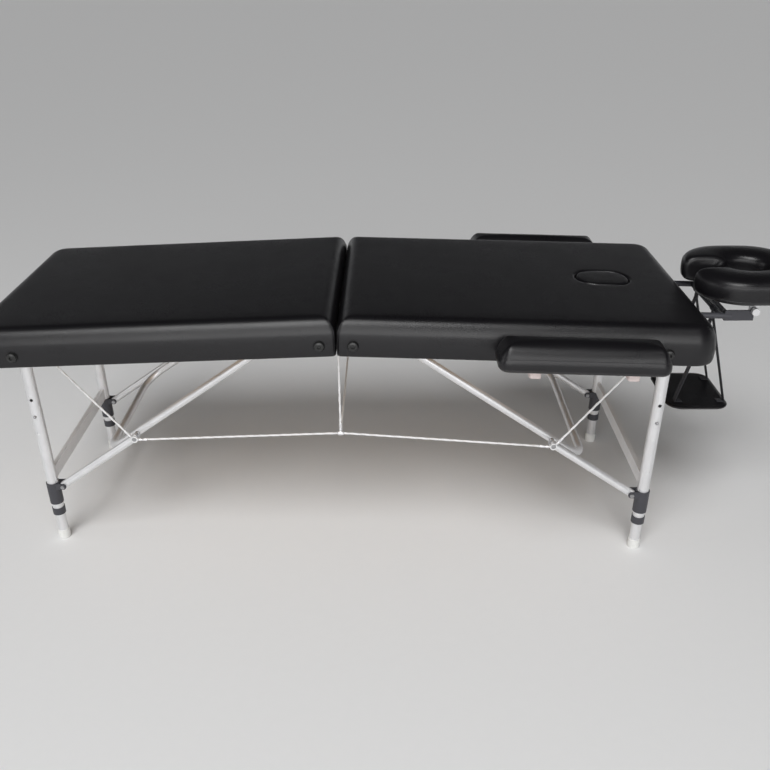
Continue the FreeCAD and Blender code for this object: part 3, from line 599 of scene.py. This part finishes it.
def addStitch(bm, spot, along, upward, slot):
    across = along.cross(upward).normalized()
    rows = []
    for share, wide in ((-0.5, 0.3), (-0.34, 0.9), (0.34, 0.9), (0.5, 0.3)):
        row = []
        for k in range(6):
            turn = math.pi * k / 3
            away = across * math.cos(turn) + upward * math.sin(turn)
            reach = away * stitch["thick"] / 2 * wide
            row.append(bm.verts.new(spot + along * stitch["long"] * share + reach))
        rows.append(row)
    before = len(bm.faces)
    for first, second in zip(rows, rows[1:]):
        bridge(bm, first, second)
    bm.faces.new(rows[0])
    bm.faces.new(rows[-1])
    bm.faces.ensure_lookup_table()
    for face in bm.faces[before:]:
        face.material_index = slot


# a sewn join on a cover: a low welt over the join, and a row of stitches on each side that is asked for
def sewJoin(name, cover, spots, body, closed=False, welt=seam["welt"], sides=(1,)):
    bpy.context.view_layer.update()
    touch = lambda spot: cover.closest_point_on_mesh(spot)[1:3]
    found = [touch(spot) for spot in spots]
    count = len(found)
    bm = bmesh.new()
    rows = []
    walked = 0.0
    last = -stitch["pitch"]
    for i, (spot, upward) in enumerate(found):
        after = found[(i + 1) % count][0] if closed else found[min(i + 1, count - 1)][0]
        before = found[i - 1][0] if closed else found[max(i - 1, 0)][0]
        along = (after - before).normalized()
        across = along.cross(upward).normalized()
        if welt:
            row = []
            for k in range(7):
                turn = math.pi * k / 6
                rise = welt * seam["tall"] * math.sin(turn) - seam["sunk"]
                row.append(bm.verts.new(spot + across * welt * math.cos(turn) + upward * rise))
            rows.append(row)
        if i:
            walked += (spot - found[i - 1][0]).length
        if walked - last >= stitch["pitch"] * 0.98:
            last = walked
            for side in sides:
                seat, lift = touch(spot + across * stitch["aside"] * side)
                addStitch(bm, seat + lift * stitch["lift"], along, lift, 1)
    if closed and rows:
        rows.append(rows[0])
    for first, second in zip(rows, rows[1:]):
        for k in range(6):
            bm.faces.new((first[k], first[k + 1], second[k + 1], second[k]))
    piece = newPiece(name, bm, finishes["welt"], finishes["thread"])
    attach(piece, body)
    return piece


# the two main pads
pad = {"top": 0.0985, "base": 0.0678, "edge": 0.066, "fine": 0.0045, "coarse": 0.014, "rim": 0.046,
       "rimDepth": 0.034, "power": 3.6, "crown": 0.0015, "crownReach": 0.090, "cap": 0.0030, "pressure": 4.0,
       "box": (0.0008, 0.9248, -0.3476, 0.3476), "radii": (0.012, 0.057), "lining": (0.0042, 0.0024, 0.0034),
       "seamLean": 0.09, "seamInset": 0.0036, "seamGap": 0.0007, "leafY": 0.240, "pocket": 0.052,
       "pocketTop": 0.0535, "pocketDepth": 0.0044, "heldBelow": 0.0675, "looseAbove": 0.057,
       "hole": {"u": 0.708, "length": 0.146, "width": 0.110, "rim": 0.004, "lines": (0.003, 0.008)},
       "walls": [(0.0590, -0.0008), (0.0540, -0.0017), (0.0490, -0.0026), (0.0380, -0.0040),
                 (0.0260, -0.0045), (0.0120, -0.0040), (0.0035, -0.0029), (0.0006, -0.0008),
                 (0.0001, 0.0076), (0.0002, 0.0206), (0.0016, 0.0211), (0.0018, 0.0106), (0.0018, 0.0038)]}


# no lip on the seam side, and a shallow pocket there for each hinge leaf
def padWallFit(spot, way, inset):
    if way.x > -0.5:
        return inset
    inPocket = abs(abs(spot.y) - pad["leafY"]) < pad["pocket"] and spot.z < pad["pocketTop"]
    return pad["pocketDepth"] if inPocket else min(max(inset, 0.0), pad["seamInset"])


# the seam sides lean towards each other, so that the arched halves close on top
def onPad(side, u, y, w):
    near = max(0.0, 1 - u / pad["seamLean"])
    return onHalf(side, u - w * math.tan(bed["slope"]) * near * near, y, w)


def makePad(side):
    shape = dict(pad, wallFit=padWallFit)
    if side == "left":
        shape["hole"] = None
    bm = boxedCushion(shape, lambda u, y, w: onPad(side, u, y, w))
    piece = newPiece(side + "PadCover", bm, finishes["hide"])
    upward = halfWays(side)[1]
    foot = onHalf(side, 0.0, 0.0, 0.0)
    height = lambda spot: (spot - foot).dot(upward)
    puffCover(piece, lambda spot: height(spot) < pad["heldBelow"], pad["pressure"], pad["cap"])
    soften(piece, lambda spot: height(spot) > pad["looseAbove"])
    flip = 1.0 if side == "right" else -1.0
    for vert in piece.data.vertices:
        vert.co.x = bed["hingeX"] + flip * max(pad["seamGap"], (vert.co.x - bed["hingeX"]) * flip)
    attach(piece, "half_" + side)
    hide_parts(side + "_pad")
    return piece


# the hide is sewn at each corner, from the top edge down the side
cornerJoin = {"over": [(0.020, 0.0930), (0.014, 0.0890), (0.009, 0.0840), (0.005, 0.0790), (0.002, 0.0730)],
              "top": 0.069, "spots": 25}


def sewPadCorners(side, cover):
    u0, u1, y0, y1 = pad["box"]
    slant = math.sqrt(0.5)
    line = cornerJoin["over"] + [(0.0, cornerJoin["top"] - seam["step"] * k) for k in range(cornerJoin["spots"])]
    for end, u, radius, outward in (("Outer", u1, pad["radii"][1], 1), ("Inner", u0, pad["radii"][0], -1)):
        for label, flip in (("Near", -1), ("Far", 1)):
            spots = []
            for inset, w in line:
                reach = radius * slant - radius - inset * slant
                spots.append(onPad(side, u + outward * reach, flip * (y1 + reach), w))
            sewJoin(side + "Pad" + end + label + "Join", cover, spots, "half_" + side)


for padSide in ("left", "right"):
    sewPadCorners(padSide, makePad(padSide))
print("pads made")

# the plug that fills the face hole
plug = {"top": 0.0995, "base": 0.0682, "edge": 0.050, "fine": 0.004, "coarse": 0.006, "rim": 0.006,
        "rimDepth": 0.005, "crown": 0.001, "crownReach": 0.04, "box": (0.6362, 0.7798, -0.0538, 0.0538),
        "radii": (0.0535, 0.0535), "join": 0.091, "lining": (0.0, 0.0, 0.0),
        "walls": [(0.084, 0.0), (0.076, 0.0), (0.070, 0.0)]}


def makePlug():
    bm = boxedCushion(plug, lambda u, y, w: onHalf("right", u, y, w))
    piece = newPiece("facePlugCover", bm, finishes["hide"])
    soften(piece)
    rounds = outlineLoop(plug["box"], plug["radii"], seam["step"])
    spots = [onHalf("right", s.x, s.y, plug["join"]) for s in rounds]
    sewJoin("facePlugJoin", piece, spots, "plug", closed=True, sides=())
    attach(piece, "plug")
    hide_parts("face_hole_plug")


makePlug()

# armrest cushions, flat below where their bracket holds them
armrest = {"top": 0.0862, "base": 0.0194, "edge": 0.046, "fine": 0.004, "coarse": 0.010, "rim": 0.042,
           "rimDepth": 0.038, "power": 3.2, "crown": 0.001, "crownReach": 0.05, "heldBelow": 0.030,
           "box": (0.3825, 0.7815, 0.3565, 0.4575), "radii": (0.024, 0.024), "lining": (0.006, 0.006, 0.006),
           "cap": 0.003, "pressure": 4.0, "joins": (("Upper", 0.0560, (1,)), ("Lower", 0.0280, ())),
           "walls": [(0.044, -0.0012), (0.038, -0.0020), (0.032, -0.0021), (0.026, -0.0008),
                     (0.0212, 0.0032)]}


def makeArmrest(end):
    flip = -1.0 if end == "near" else 1.0
    bm = boxedCushion(armrest, lambda u, y, w: onHalf("right", u, flip * y, w))
    piece = newPiece(end + "ArmrestCover", bm, finishes["hide"])
    foot = onHalf("right", 0.0, 0.0, armrest["heldBelow"])
    upward = halfWays("right")[1]
    puffCover(piece, lambda spot: (spot - foot).dot(upward) < 0, armrest["pressure"], armrest["cap"])
    soften(piece)
    rounds = outlineLoop(armrest["box"], armrest["radii"], seam["step"])
    for label, w, sides in armrest["joins"]:
        spots = [onHalf("right", s.x, flip * s.y, w) for s in rounds]
        sewJoin(end + "Armrest" + label + "Join", piece, spots, end + "_armrest", closed=True, sides=sides)
    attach(piece, end + "_armrest")
    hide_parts(end + "_armrest_pad")


for armrestEnd in ("near", "far"):
    makeArmrest(armrestEnd)
print("armrests made")

# face cradle: a horseshoe of stuffed hide, open towards the bed, with two rounded ends
cradle = {"x": 1.089 + bed["hingeX"], "base": 0.6524, "thick": 0.0760, "outer": (0.1475, 0.1635),
          "corner": 0.112, "inner": (0.0690, 0.0550), "around": 40, "step": 0.0085, "square": 3.3,
          "cap": 0.003, "pressure": 3.0, "held": 0.01, "stop": 0.0500,
          "joins": (("Upper", 0.0580, (1,)), ("Lower", 0.0165, ())),
          "ends": ((0.0145, 0.030), (0.0140, 0.017), (0.0125, 0.0095), (0.0100, 0.0050), (0.0058, 0.0015))}


# the outline from the near end of the horseshoe round to the far end
def cradleOutline(step):
    wide, deep = cradle["outer"]
    spots = outlineLoop((-wide, wide, -deep, deep), (cradle["corner"], cradle["corner"]), step)
    inGap = [spot.x < 0 and abs(spot.y) < cradle["stop"] for spot in spots]
    start = next(k for k in range(len(spots)) if inGap[k - 1] and not inGap[k])
    inOrder = zip(spots[start:] + spots[:start], inGap[start:] + inGap[:start])
    return [spot for spot, skipped in inOrder if not skipped]


def cradleRow(bm, inner, outer, ahead=0.0, inset=0.0):
    middle = (inner + outer) / 2
    half = (outer - inner) / 2
    half *= 1 - inset / half.length
    tall = cradle["thick"] / 2
    flat = 2.0 / cradle["square"]
    row = []
    for j in range(cradle["around"]):
        turn = 2 * math.pi * j / cradle["around"]
        side = math.copysign(abs(math.cos(turn)) ** flat, math.cos(turn))
        rise = math.copysign(abs(math.sin(turn)) ** flat, math.sin(turn))
        spot = middle + half * side
        height = cradle["base"] + tall + (tall - inset) * rise
        row.append(bm.verts.new((cradle["x"] + spot.x, spot.y + ahead, height)))
    return row


def makeCradle():
    bm = bmesh.new()
    rounds = cradleOutline(cradle["step"])
    reach = math.pi - math.asin(cradle["stop"] / cradle["inner"][1])
    pairs = []
    for k, outer in enumerate(rounds):
        angle = reach * (2 * k / (len(rounds) - 1) - 1)
        inner = Vector((cradle["inner"][0] * math.cos(angle), cradle["inner"][1] * math.sin(angle)))
        pairs.append((inner, outer))
    rows = [cradleRow(bm, *pairs[0], ahead, inset) for ahead, inset in cradle["ends"]]
    rows += [cradleRow(bm, *both) for both in pairs]
    rows += [cradleRow(bm, *pairs[-1], -ahead, inset) for ahead, inset in reversed(cradle["ends"])]
    for first, second in zip(rows, rows[1:]):
        bridge(bm, first, second)
    bm.faces.new(rows[0])
    bm.faces.new(rows[-1])
    piece = newPiece("faceCradleCover", bm, finishes["hide"])
    puffCover(piece, lambda spot: spot.z < cradle["base"] + cradle["held"], cradle["pressure"], cradle["cap"])
    soften(piece)
    rounds = cradleOutline(seam["step"])
    for label, rise, sides in cradle["joins"]:
        spots = [Vector((cradle["x"] + s.x, s.y, cradle["base"] + rise)) for s in rounds]
        sewJoin("faceCradle" + label + "Join", piece, spots, "cradle", sides=sides)
    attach(piece, "cradle")
    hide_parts("cradle_cushion")


makeCradle()

# hanging arm shelf, a thin board under hide
shelf = {"top": 0.3405, "base": 0.3318, "edge": 0.045, "fine": 0.005, "coarse": 0.014, "rim": 0.005,
         "rimDepth": 0.003, "crown": 0.0006, "crownReach": 0.03, "box": (0.9105, 1.0795, -0.1115, 0.1115),
         "radii": (0.040, 0.040), "lining": (0.002, 0.002, 0.002), "walls": [(0.3358, 0.0), (0.3336, 0.0002)],
         "welt": 0.0022, "weltZ": 0.3362, "stitchIn": 0.008, "stitchRadius": 0.032, "stitchZ": 0.346}


def makeShelf():
    bm = boxedCushion(shelf, lambda u, y, w: Vector((u + bed["hingeX"], y, w)))
    piece = newPiece("armShelfCover", bm, finishes["hide"])
    soften(piece)
    rounds = outlineLoop(shelf["box"], shelf["radii"], seam["step"])
    spots = [Vector((s.x + bed["hingeX"], s.y, shelf["weltZ"])) for s in rounds]
    sewJoin("armShelfWelt", piece, spots, "shelf", closed=True, welt=shelf["welt"], sides=())
    u0, u1, y0, y1 = shelf["box"]
    inward = shelf["stitchIn"]
    rounds = outlineLoop((u0 + inward, u1 - inward, y0 + inward, y1 - inward), (shelf["stitchRadius"],) * 2,
                         seam["step"])
    spots = [Vector((s.x + bed["hingeX"], s.y, shelf["stitchZ"])) for s in rounds]
    sewJoin("armShelfStitches", piece, spots, "shelf", closed=True, welt=0.0, sides=(0,))
    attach(piece, "shelf")
    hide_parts("arm_shelf")


makeShelf()


# a flat strap along a line of spots, with its width in one direction and its thickness in the other
def stripAlong(bm, spots, widths, across, thick):
    rows = []
    for index, spot in enumerate(spots):
        before = spots[max(index - 1, 0)]
        after = spots[min(index + 1, len(spots) - 1)]
        face = (after - before).cross(across).normalized()
        wide = across * widths[index] / 2
        deep = face * thick / 2
        rows.append([bm.verts.new(spot + wide + deep), bm.verts.new(spot - wide + deep),
                     bm.verts.new(spot - wide - deep), bm.verts.new(spot + wide - deep)])
    for first, second in zip(rows, rows[1:]):
        bridge(bm, first, second)
    bm.faces.new(rows[0])
    bm.faces.new(rows[-1])


# webbing looped over the cross rod of the headrest, with two tails sewn to the shelf
hanger = {"x": 1.000 + bed["hingeX"], "z": 0.61911, "y": 0.070, "loop": 0.0072, "width": 0.020,
          "thick": 0.0018, "feet": (0.934 + bed["hingeX"], 1.072 + bed["hingeX"]), "footZ": 0.3408,
          "apart": 0.0009, "drop": (0.0008, -0.016), "sewn": (-0.020, 0.0005),
          "footStitch": {"aside": 0.007, "first": 0.003, "pitch": 0.0045, "lift": 0.0017},
          "loopStitch": {"out": 0.0023, "first": 0.0066, "pitch": 0.0044, "below": 0.009}}


def makeHangers():
    bm = bmesh.new()
    wideWay = Vector((0.0, 1.0, 0.0))
    for y in (-hanger["y"], hanger["y"]):
        loop = []
        for k in range(33):
            angle = -math.pi / 2 + 2 * math.pi * k / 32
            loop.append(Vector((hanger["x"] + hanger["loop"] * math.cos(angle), y,
                                hanger["z"] + hanger["loop"] * math.sin(angle))))
        stripAlong(bm, loop, [hanger["width"]] * len(loop), wideWay, hanger["thick"])
        lower = hanger["z"] - hanger["loop"]
        for footX in hanger["feet"]:
            outward = math.copysign(1.0, footX - hanger["x"])
            top = Vector((hanger["x"] + hanger["apart"] * outward, y, lower))
            foot = Vector((footX, y, hanger["footZ"]))
            spots = [top, top + Vector((hanger["drop"][0] * outward, 0.0, hanger["drop"][1]))]
            spots += [spots[1].lerp(foot, k / 12) for k in range(1, 13)]
            spots.append(foot + Vector((hanger["sewn"][0] * outward, 0.0, hanger["sewn"][1])))
            stripAlong(bm, spots, [hanger["width"]] * len(spots), wideWay, hanger["thick"])
            sewn = hanger["footStitch"]
            for k in range(4):
                for across in (-sewn["aside"], sewn["aside"]):
                    seat = foot + Vector((-outward * (sewn["first"] + sewn["pitch"] * k), across, sewn["lift"]))
                    addStitch(bm, seat, Vector((1.0, 0.0, 0.0)), Vector((0.0, 0.0, 1.0)), 1)
        sewn = hanger["loopStitch"]
        for k in range(4):
            for flip in (-1, 1):
                seat = Vector((hanger["x"] + flip * sewn["out"], y - sewn["first"] + sewn["pitch"] * k,
                               lower - sewn["below"]))
                addStitch(bm, seat, wideWay, Vector((flip, 0.0, 0.0)), 1)
    piece = newPiece("shelfHangers", bm, finishes["strap"], finishes["thread"], smooth=False)
    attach(piece, "shelf")
    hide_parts("shelf_straps")


makeHangers()

# carry handles on the far side
handle = {"u": 0.215, "span": 0.080, "face": 0.3525, "reach": 0.022, "sunk": 0.002, "steep": 3.2, "w": 0.020,
          "width": 0.027, "thick": 0.005, "bevel": 0.0015, "stitchAside": 0.0095, "stitchOut": 0.006}


def makeHandle(side):
    bm = bmesh.new()
    spots = []
    for k in range(25):
        share = -1 + 2 * k / 24
        rise = min(1.0, (1 - abs(share)) * handle["steep"])
        rise = rise * rise * (3 - 2 * rise)
        y = handle["face"] + handle["reach"] * rise - handle["sunk"]
        spots.append(onHalf(side, handle["u"] + handle["span"] * share, y, handle["w"]))
    upward = halfWays(side)[1]
    stripAlong(bm, spots, [handle["width"]] * len(spots), upward, handle["thick"])
    piece = newPiece(side + "HandleCover", bm, finishes["hide"])
    edge = piece.modifiers.new("edge", "BEVEL")
    edge.width = handle["bevel"]
    edge.segments = 2
    applyModifiers(piece)
    outward = Vector((0.0, handle["stitchOut"], 0.0))
    for label, aside in (("Upper", handle["stitchAside"]), ("Lower", -handle["stitchAside"])):
        line = []
        for first, second in zip(spots, spots[1:]):
            line += [first.lerp(second, share) + upward * aside + outward for share in (0.0, 0.5)]
        sewJoin(side + "Handle" + label + "Stitches", piece, line, "half_" + side, welt=0.0, sides=(0,))
    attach(piece, "half_" + side)
    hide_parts(side + "_carry_handle")


for handleSide in ("left", "right"):
    makeHandle(handleSide)
print("straps and handles made")


# a turned form round a line: rows of distance along it and radius
def turnAlong(bm, start, way, rows, sides=20, slot=0):
    across = way.orthogonal().normalized()
    upward = way.cross(across)
    loops = []
    before = len(bm.faces)
    for along, radius in rows:
        loop = []
        for k in range(sides):
            turn = 2 * math.pi * k / sides
            away = across * math.cos(turn) + upward * math.sin(turn)
            loop.append(bm.verts.new(start + way * along + away * radius))
        loops.append(loop)
    for first, second in zip(loops, loops[1:]):
        bridge(bm, first, second)
    bm.faces.ensure_lookup_table()
    for face in bm.faces[before:]:
        face.material_index = slot
    return loops


# a rope of three laid strands under one coat
rope = {"radius": 0.0031, "lobe": 0.16, "lay": 0.030, "step": 0.004, "ferrule": 0.0039, "ferruleLong": 0.024}


def layRope(bm, start, end):
    way = (end - start).normalized()
    across = way.orthogonal().normalized()
    upward = way.cross(across)
    count = max(2, round((end - start).length / rope["step"]))
    previous = None
    for i in range(count + 1):
        spot = start.lerp(end, i / count)
        twist = 2 * math.pi * (end - start).length * i / count / rope["lay"]
        row = []
        for k in range(12):
            turn = math.pi * k / 6
            reach = rope["radius"] * (1 - rope["lobe"] + rope["lobe"] * math.cos(3 * turn - twist))
            row.append(bm.verts.new(spot + (across * math.cos(turn) + upward * math.sin(turn)) * reach))
        if previous:
            bridge(bm, previous, row)
        else:
            bm.faces.new(row)
        previous = row
    bm.faces.new(previous)


# a pressed sleeve near a rope's end
def pressSleeve(bm, spot, way):
    long = rope["ferruleLong"]
    wide = rope["ferrule"]
    neck = wide * 0.86
    waist = wide * 0.84
    rows = [(0.0, 0.0020), (0.0, neck), (0.0012, wide), (long * 0.30, wide), (long * 0.34, waist),
            (long * 0.40, waist), (long * 0.44, wide), (long - 0.0012, wide), (long, neck), (long, 0.0020)]
    turnAlong(bm, spot, way, rows, slot=1)


# an eye of rope round a bolt that lies across the bed
def addEye(bm, spot, radius, thick):
    loops = []
    for i in range(24):
        turn = 2 * math.pi * i / 24
        away = Vector((math.cos(turn), 0.0, math.sin(turn)))
        loop = []
        for k in range(10):
            bend = 2 * math.pi * k / 10
            aside = Vector((0.0, thick * math.sin(bend), 0.0))
            loop.append(bm.verts.new(spot + away * (radius + thick * math.cos(bend)) + aside))
        loops.append(loop)
    for first, second in zip(loops, loops[1:] + loops[:1]):
        bridge(bm, first, second)


# stay ropes of a half: elbow to the middle knot, and elbow to the tab beside the leg's hinge
stay = {"elbow": (0.56765, -0.26251), "middle": (0.01704, 0.271, -0.25884), "tab": (0.788, 0.044),
        "spread": {"left": 0.2525, "right": 0.2905}, "eye": 0.0082, "eyeThick": 0.0019, "aside": 0.0140,
        "tabEye": 0.0062, "tabEyeThick": 0.0017, "tabAside": 0.0177, "tabLong": 0.015, "tabRadius": 0.0055,
        "tabHalf": 0.0014, "rivetHalf": 0.0050, "folded": 0.0009,
        "rivet": [(0.0, 0.0001), (0.0, 0.0040), (0.0008, 0.0046), (0.0092, 0.0046), (0.0100, 0.0040),
                  (0.0100, 0.0001)]}


def makeStays(side):
    bm = bmesh.new()
    spread = stay["spread"][side]
    for flip in (-1, 1):
        y = flip * (spread + stay["aside"])
        elbowSpot = onHalf(side, stay["elbow"][0], y, stay["elbow"][1])
        middleSpot = onHalf(side, stay["middle"][0], flip * stay["middle"][1], stay["middle"][2])
        tabSpot = onHalf(side, stay["tab"][0], flip * (spread + stay["tabAside"]), stay["tab"][1])
        addEye(bm, elbowSpot, stay["eye"], stay["eyeThick"])
        for target, eyeAtEnd in ((middleSpot, False), (tabSpot, True)):
            way = (target - elbowSpot).normalized()
            start = elbowSpot + way * stay["eye"]
            end = target - way * 0.006 if eyeAtEnd else target
            layRope(bm, start, end)
            pressSleeve(bm, start + way * 0.004, way)
            if eyeAtEnd:
                addEye(bm, target, stay["tabEye"], stay["tabEyeThick"])
                pressSleeve(bm, end - way * (rope["ferruleLong"] + 0.003), way)
    piece = newPiece(side + "StayRopes", bm, finishes["cable"], finishes["alloy"])
    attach(piece, "half_" + side)
    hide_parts(side + "_stay_cables")
    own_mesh(piece)


# the flat tab that holds each stay beside the leg's hinge
def makeStayTabs(side):
    bm = bmesh.new()
    outward, upward = halfWays(side)
    radius = stay["tabRadius"]
    for flip in (-1, 1):
        y = flip * (stay["spread"][side] + stay["tabAside"])
        middle = onHalf(side, stay["tab"][0], y, stay["tab"][1])
        far = middle + outward * stay["tabLong"]
        edge = [far + upward * radius, middle + upward * radius]
        for k in range(1, 8):
            turn = math.pi / 2 + math.pi * k / 8
            edge.append(middle + (outward * math.cos(turn) + upward * math.sin(turn)) * radius)
        edge += [middle - upward * radius, far - upward * radius]
        faces = []
        for y in (-stay["tabHalf"], stay["tabHalf"]):
            loop = [bm.verts.new(spot + Vector((0.0, y, 0.0))) for spot in edge]
            bm.faces.new(loop)
            faces.append(loop)
        bridge(bm, faces[0], faces[1])
        start = middle - Vector((0.0, stay["rivetHalf"], 0.0))
        turnAlong(bm, start, Vector((0.0, 1.0, 0.0)), stay["rivet"])
    piece = newPiece(side + "StayTabs", bm, finishes["steel"], smooth=False)
    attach(piece, "half_" + side)


# drop ropes from the seam with the cross rope between their knots
drop = {"top": 0.609, "low": 0.351, "y": 0.271, "knot": 0.0060}


def makeDropRopes():
    bm = bmesh.new()
    lows = []
    for flip in (-1, 1):
        top = Vector((bed["hingeX"], flip * drop["y"], drop["top"]))
        low = Vector((bed["hingeX"], flip * drop["y"], drop["low"]))
        layRope(bm, top, low)
        pressSleeve(bm, low + Vector((0.0, 0.0, 0.008)), Vector((0.0, 0.0, 1.0)))
        wide = drop["knot"]
        rows = [(-0.0085, 0.0026), (-0.0080, wide * 0.8), (-0.0055, wide), (0.0055, wide),
                (0.0080, wide * 0.8), (0.0085, 0.0026)]
        turnAlong(bm, low, Vector((1.0, 0.0, 0.0)), rows, slot=1)
        lows.append(low)
    layRope(bm, lows[0], lows[1])
    for low, way in zip(lows, (1.0, -1.0)):
        pressSleeve(bm, low + Vector((0.0, way * 0.007, 0.0)), Vector((0.0, way, 0.0)))
    piece = newPiece("dropRopes", bm, finishes["cable"], finishes["alloy"])
    bodies = frame["record"]["behaviour"]["bodies"]
    owner = [name for name, held in bodies.items() if "centre_cords" in held][0]
    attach(piece, owner)
    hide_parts("centre_cords")
    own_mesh(piece)


for staySide in ("left", "right"):
    makeStays(staySide)
    makeStayTabs(staySide)
makeDropRopes()
print("ropes made")


# a domed screw head with a cross slot, in shares of its radius
screwHead = {"rings": (1.0, 1.0, 0.85, 0.66, 0.48, 0.34, 0.22, 0.11), "dome": 0.42, "edge": 0.12,
             "slotWide": 0.13, "slotLong": 0.6, "slotDeep": 0.30}


def addScrew(bm, spot, way, radius):
    across = way.orthogonal().normalized()
    upward = way.cross(across)
    rings = []
    for share in screwHead["rings"]:
        ring = []
        for k in range(32):
            turn = 2 * math.pi * k / 32
            x = share * math.cos(turn)
            y = share * math.sin(turn)
            inLine = min(abs(x), abs(y)) < screwHead["slotWide"]
            slotted = inLine and max(abs(x), abs(y)) < screwHead["slotLong"]
            lift = screwHead["dome"] * (1 - share * share) + screwHead["edge"] if rings else 0.0
            lift -= screwHead["slotDeep"] if slotted else 0.0
            ring.append(bm.verts.new(spot + (across * x + upward * y + way * lift) * radius))
        rings.append(ring)
    for first, second in zip(rings, rings[1:]):
        bridge(bm, first, second)
    bm.faces.new(rings[-1])


# screws of the hinge leaves and under the armrest brackets
screw = {"leafY": 0.240, "leafFace": 0.0030, "radius": 0.0032,
         "spots": ((-0.034, 0.020), (-0.034, 0.043), (0.0, 0.043), (0.034, 0.020), (0.034, 0.043)),
         "tabU": (0.470, 0.700), "tabY": (0.385, 0.425), "tabW": 0.001}


def makeScrews():
    for side in ("left", "right"):
        bm = bmesh.new()
        outward = halfWays(side)[0]
        for middle in (-screw["leafY"], screw["leafY"]):
            for y, w in screw["spots"]:
                addScrew(bm, onHalf(side, screw["leafFace"], middle + y, w), -outward, screw["radius"])
        piece = newPiece(side + "LeafScrews", bm, finishes["steel"])
        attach(piece, "half_" + side)
    for end, flip in (("near", -1), ("far", 1)):
        bm = bmesh.new()
        for u in screw["tabU"]:
            for y in screw["tabY"]:
                spot = onHalf("right", u, flip * y, screw["tabW"])
                addScrew(bm, spot, -halfWays("right")[1], screw["radius"])
        piece = newPiece(end + "BracketScrews", bm, finishes["steel"])
        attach(piece, end + "_armrest")


# eyelets where the armrest pegs and the headrest posts go into the bed; each hole is closed by a near-black
# disc, painted shade inside the socket
eyelet = {"pegU": (0.470, 0.700), "pegY": 0.3522, "pegW": 0.030, "pegHole": 0.0068,
          "postU": 0.9284, "postY": 0.120, "postW": 0.044, "postHole": 0.0088}


def addEyelet(bm, spot, way, hole):
    rim = [(-0.0008, hole + 0.0052), (0.0006, hole + 0.0050), (0.0014, hole + 0.0034),
           (0.0015, hole + 0.0014), (0.0009, hole + 0.0002), (-0.0004, hole)]
    # a near-black disc across the hole: painted shade inside the socket
    dark = [(0.0001, hole + 0.0008), (0.0003, hole * 0.6), (0.0003, 0.0001)]
    turnAlong(bm, spot, way, rim, sides=36)
    turnAlong(bm, spot, way, dark, sides=24, slot=1)


def makeEyelets():
    bm = bmesh.new()
    for flip in (-1, 1):
        for u in eyelet["pegU"]:
            spot = onHalf("right", u, flip * eyelet["pegY"], eyelet["pegW"])
            addEyelet(bm, spot, Vector((0.0, flip, 0.0)), eyelet["pegHole"])
        spot = onHalf("right", eyelet["postU"], flip * eyelet["postY"], eyelet["postW"])
        addEyelet(bm, spot, halfWays("right")[0], eyelet["postHole"])
    piece = newPiece("socketEyelets", bm, finishes["steel"], finishes["shade"])
    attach(piece, "half_right")


makeScrews()
makeEyelets()
print("screws and eyelets made")

# camera fitted to the photograph
lensMm = 40.575
camera = bpy.data.objects.new("camera", bpy.data.cameras.new("camera"))
scene.collection.objects.link(camera)
camera.data.lens = lensMm
camera.data.sensor_width = 36.0
camera.data.shift_x = 0.0331
camera.data.shift_y = 0.0070
turnRight = Vector((0.99946, 0.02811, -0.01725))
turnUp = Vector((0.00246, 0.45802, 0.88894))
turnBack = Vector((0.0329, -0.8885, 0.4577))
seat = Matrix.Identity(4)
for column, direction in enumerate((turnRight, turnUp, turnBack)):
    for row in range(3):
        seat[row][column] = direction[row]
seat.translation = Vector((-0.0294, -2.2661, 1.5059))
camera.matrix_world = seat
scene.camera = camera

# pale floor and soft studio light
floor = {"size": 70.0, "tone": 0.80}
floorMesh = bmesh.new()
bmesh.ops.create_grid(floorMesh, x_segments=2, y_segments=2, size=floor["size"])
floorFinish = finish("paleFloor", "mould", {"Colour": grey(floor["tone"]), "Grain size": 300.0, "Cloud": 0.02,
                                            "Roughness": 0.7}, (0.02, 0.0002))
floorPiece = newPiece("floor", floorMesh, floorFinish)
floorPiece.location.z = -0.0005

sun = bpy.data.lights.new("softSun", "SUN")
sun.energy = 1.75
sun.angle = math.radians(32.0)
sunLamp = bpy.data.objects.new("softSun", sun)
scene.collection.objects.link(sunLamp)
sunLamp.rotation_euler = Vector((0.18, 0.62, -1.0)).to_track_quat("-Z", "Y").to_euler()

lamps = [("front", (0.0, -4.0, 1.9), 6.0, 1.7, 105.0), ("leftSide", (-3.4, -0.8, 1.6), 1.6, 1.2, 10.0)]
for label, spot, wide, deep, watts in lamps:
    light = bpy.data.lights.new(label, "AREA")
    light.shape = "RECTANGLE"
    light.size = wide
    light.size_y = deep
    light.energy = watts
    lamp = bpy.data.objects.new(label, light)
    scene.collection.objects.link(lamp)
    lamp.visible_camera = False
    lamp.location = spot
    aim = Vector((0.0, 0.0, 0.5)) - Vector(spot)
    lamp.rotation_euler = aim.to_track_quat("-Z", "Y").to_euler()
world = bpy.data.worlds.new("studio")
world.use_nodes = True
sky = world.node_tree
heading = addNode(sky, "ShaderNodeTexCoord", (-900, 0))
parted = addNode(sky, "ShaderNodeSeparateXYZ", (-700, 0))
climb = addNode(sky, "ShaderNodeMapRange", (-500, 0))  # pale round the horizon, dimmer overhead
climb.interpolation_type = "SMOOTHSTEP"
climb.inputs["From Min"].default_value = 0.02
climb.inputs["From Max"].default_value = 0.24
climb.inputs["To Min"].default_value = 0.70
climb.inputs["To Max"].default_value = 0.03
link(sky, (heading.outputs["Generated"], parted.inputs[0]), (parted.outputs["Z"], climb.inputs["Value"]),
     (climb.outputs["Result"], sky.nodes["Background"].inputs["Strength"]))
sky.nodes["Background"].inputs["Color"].default_value = (0.97, 0.98, 1.0, 1.0)
scene.world = world
scene.view_settings.view_transform = "Standard"
print("camera and lights set")
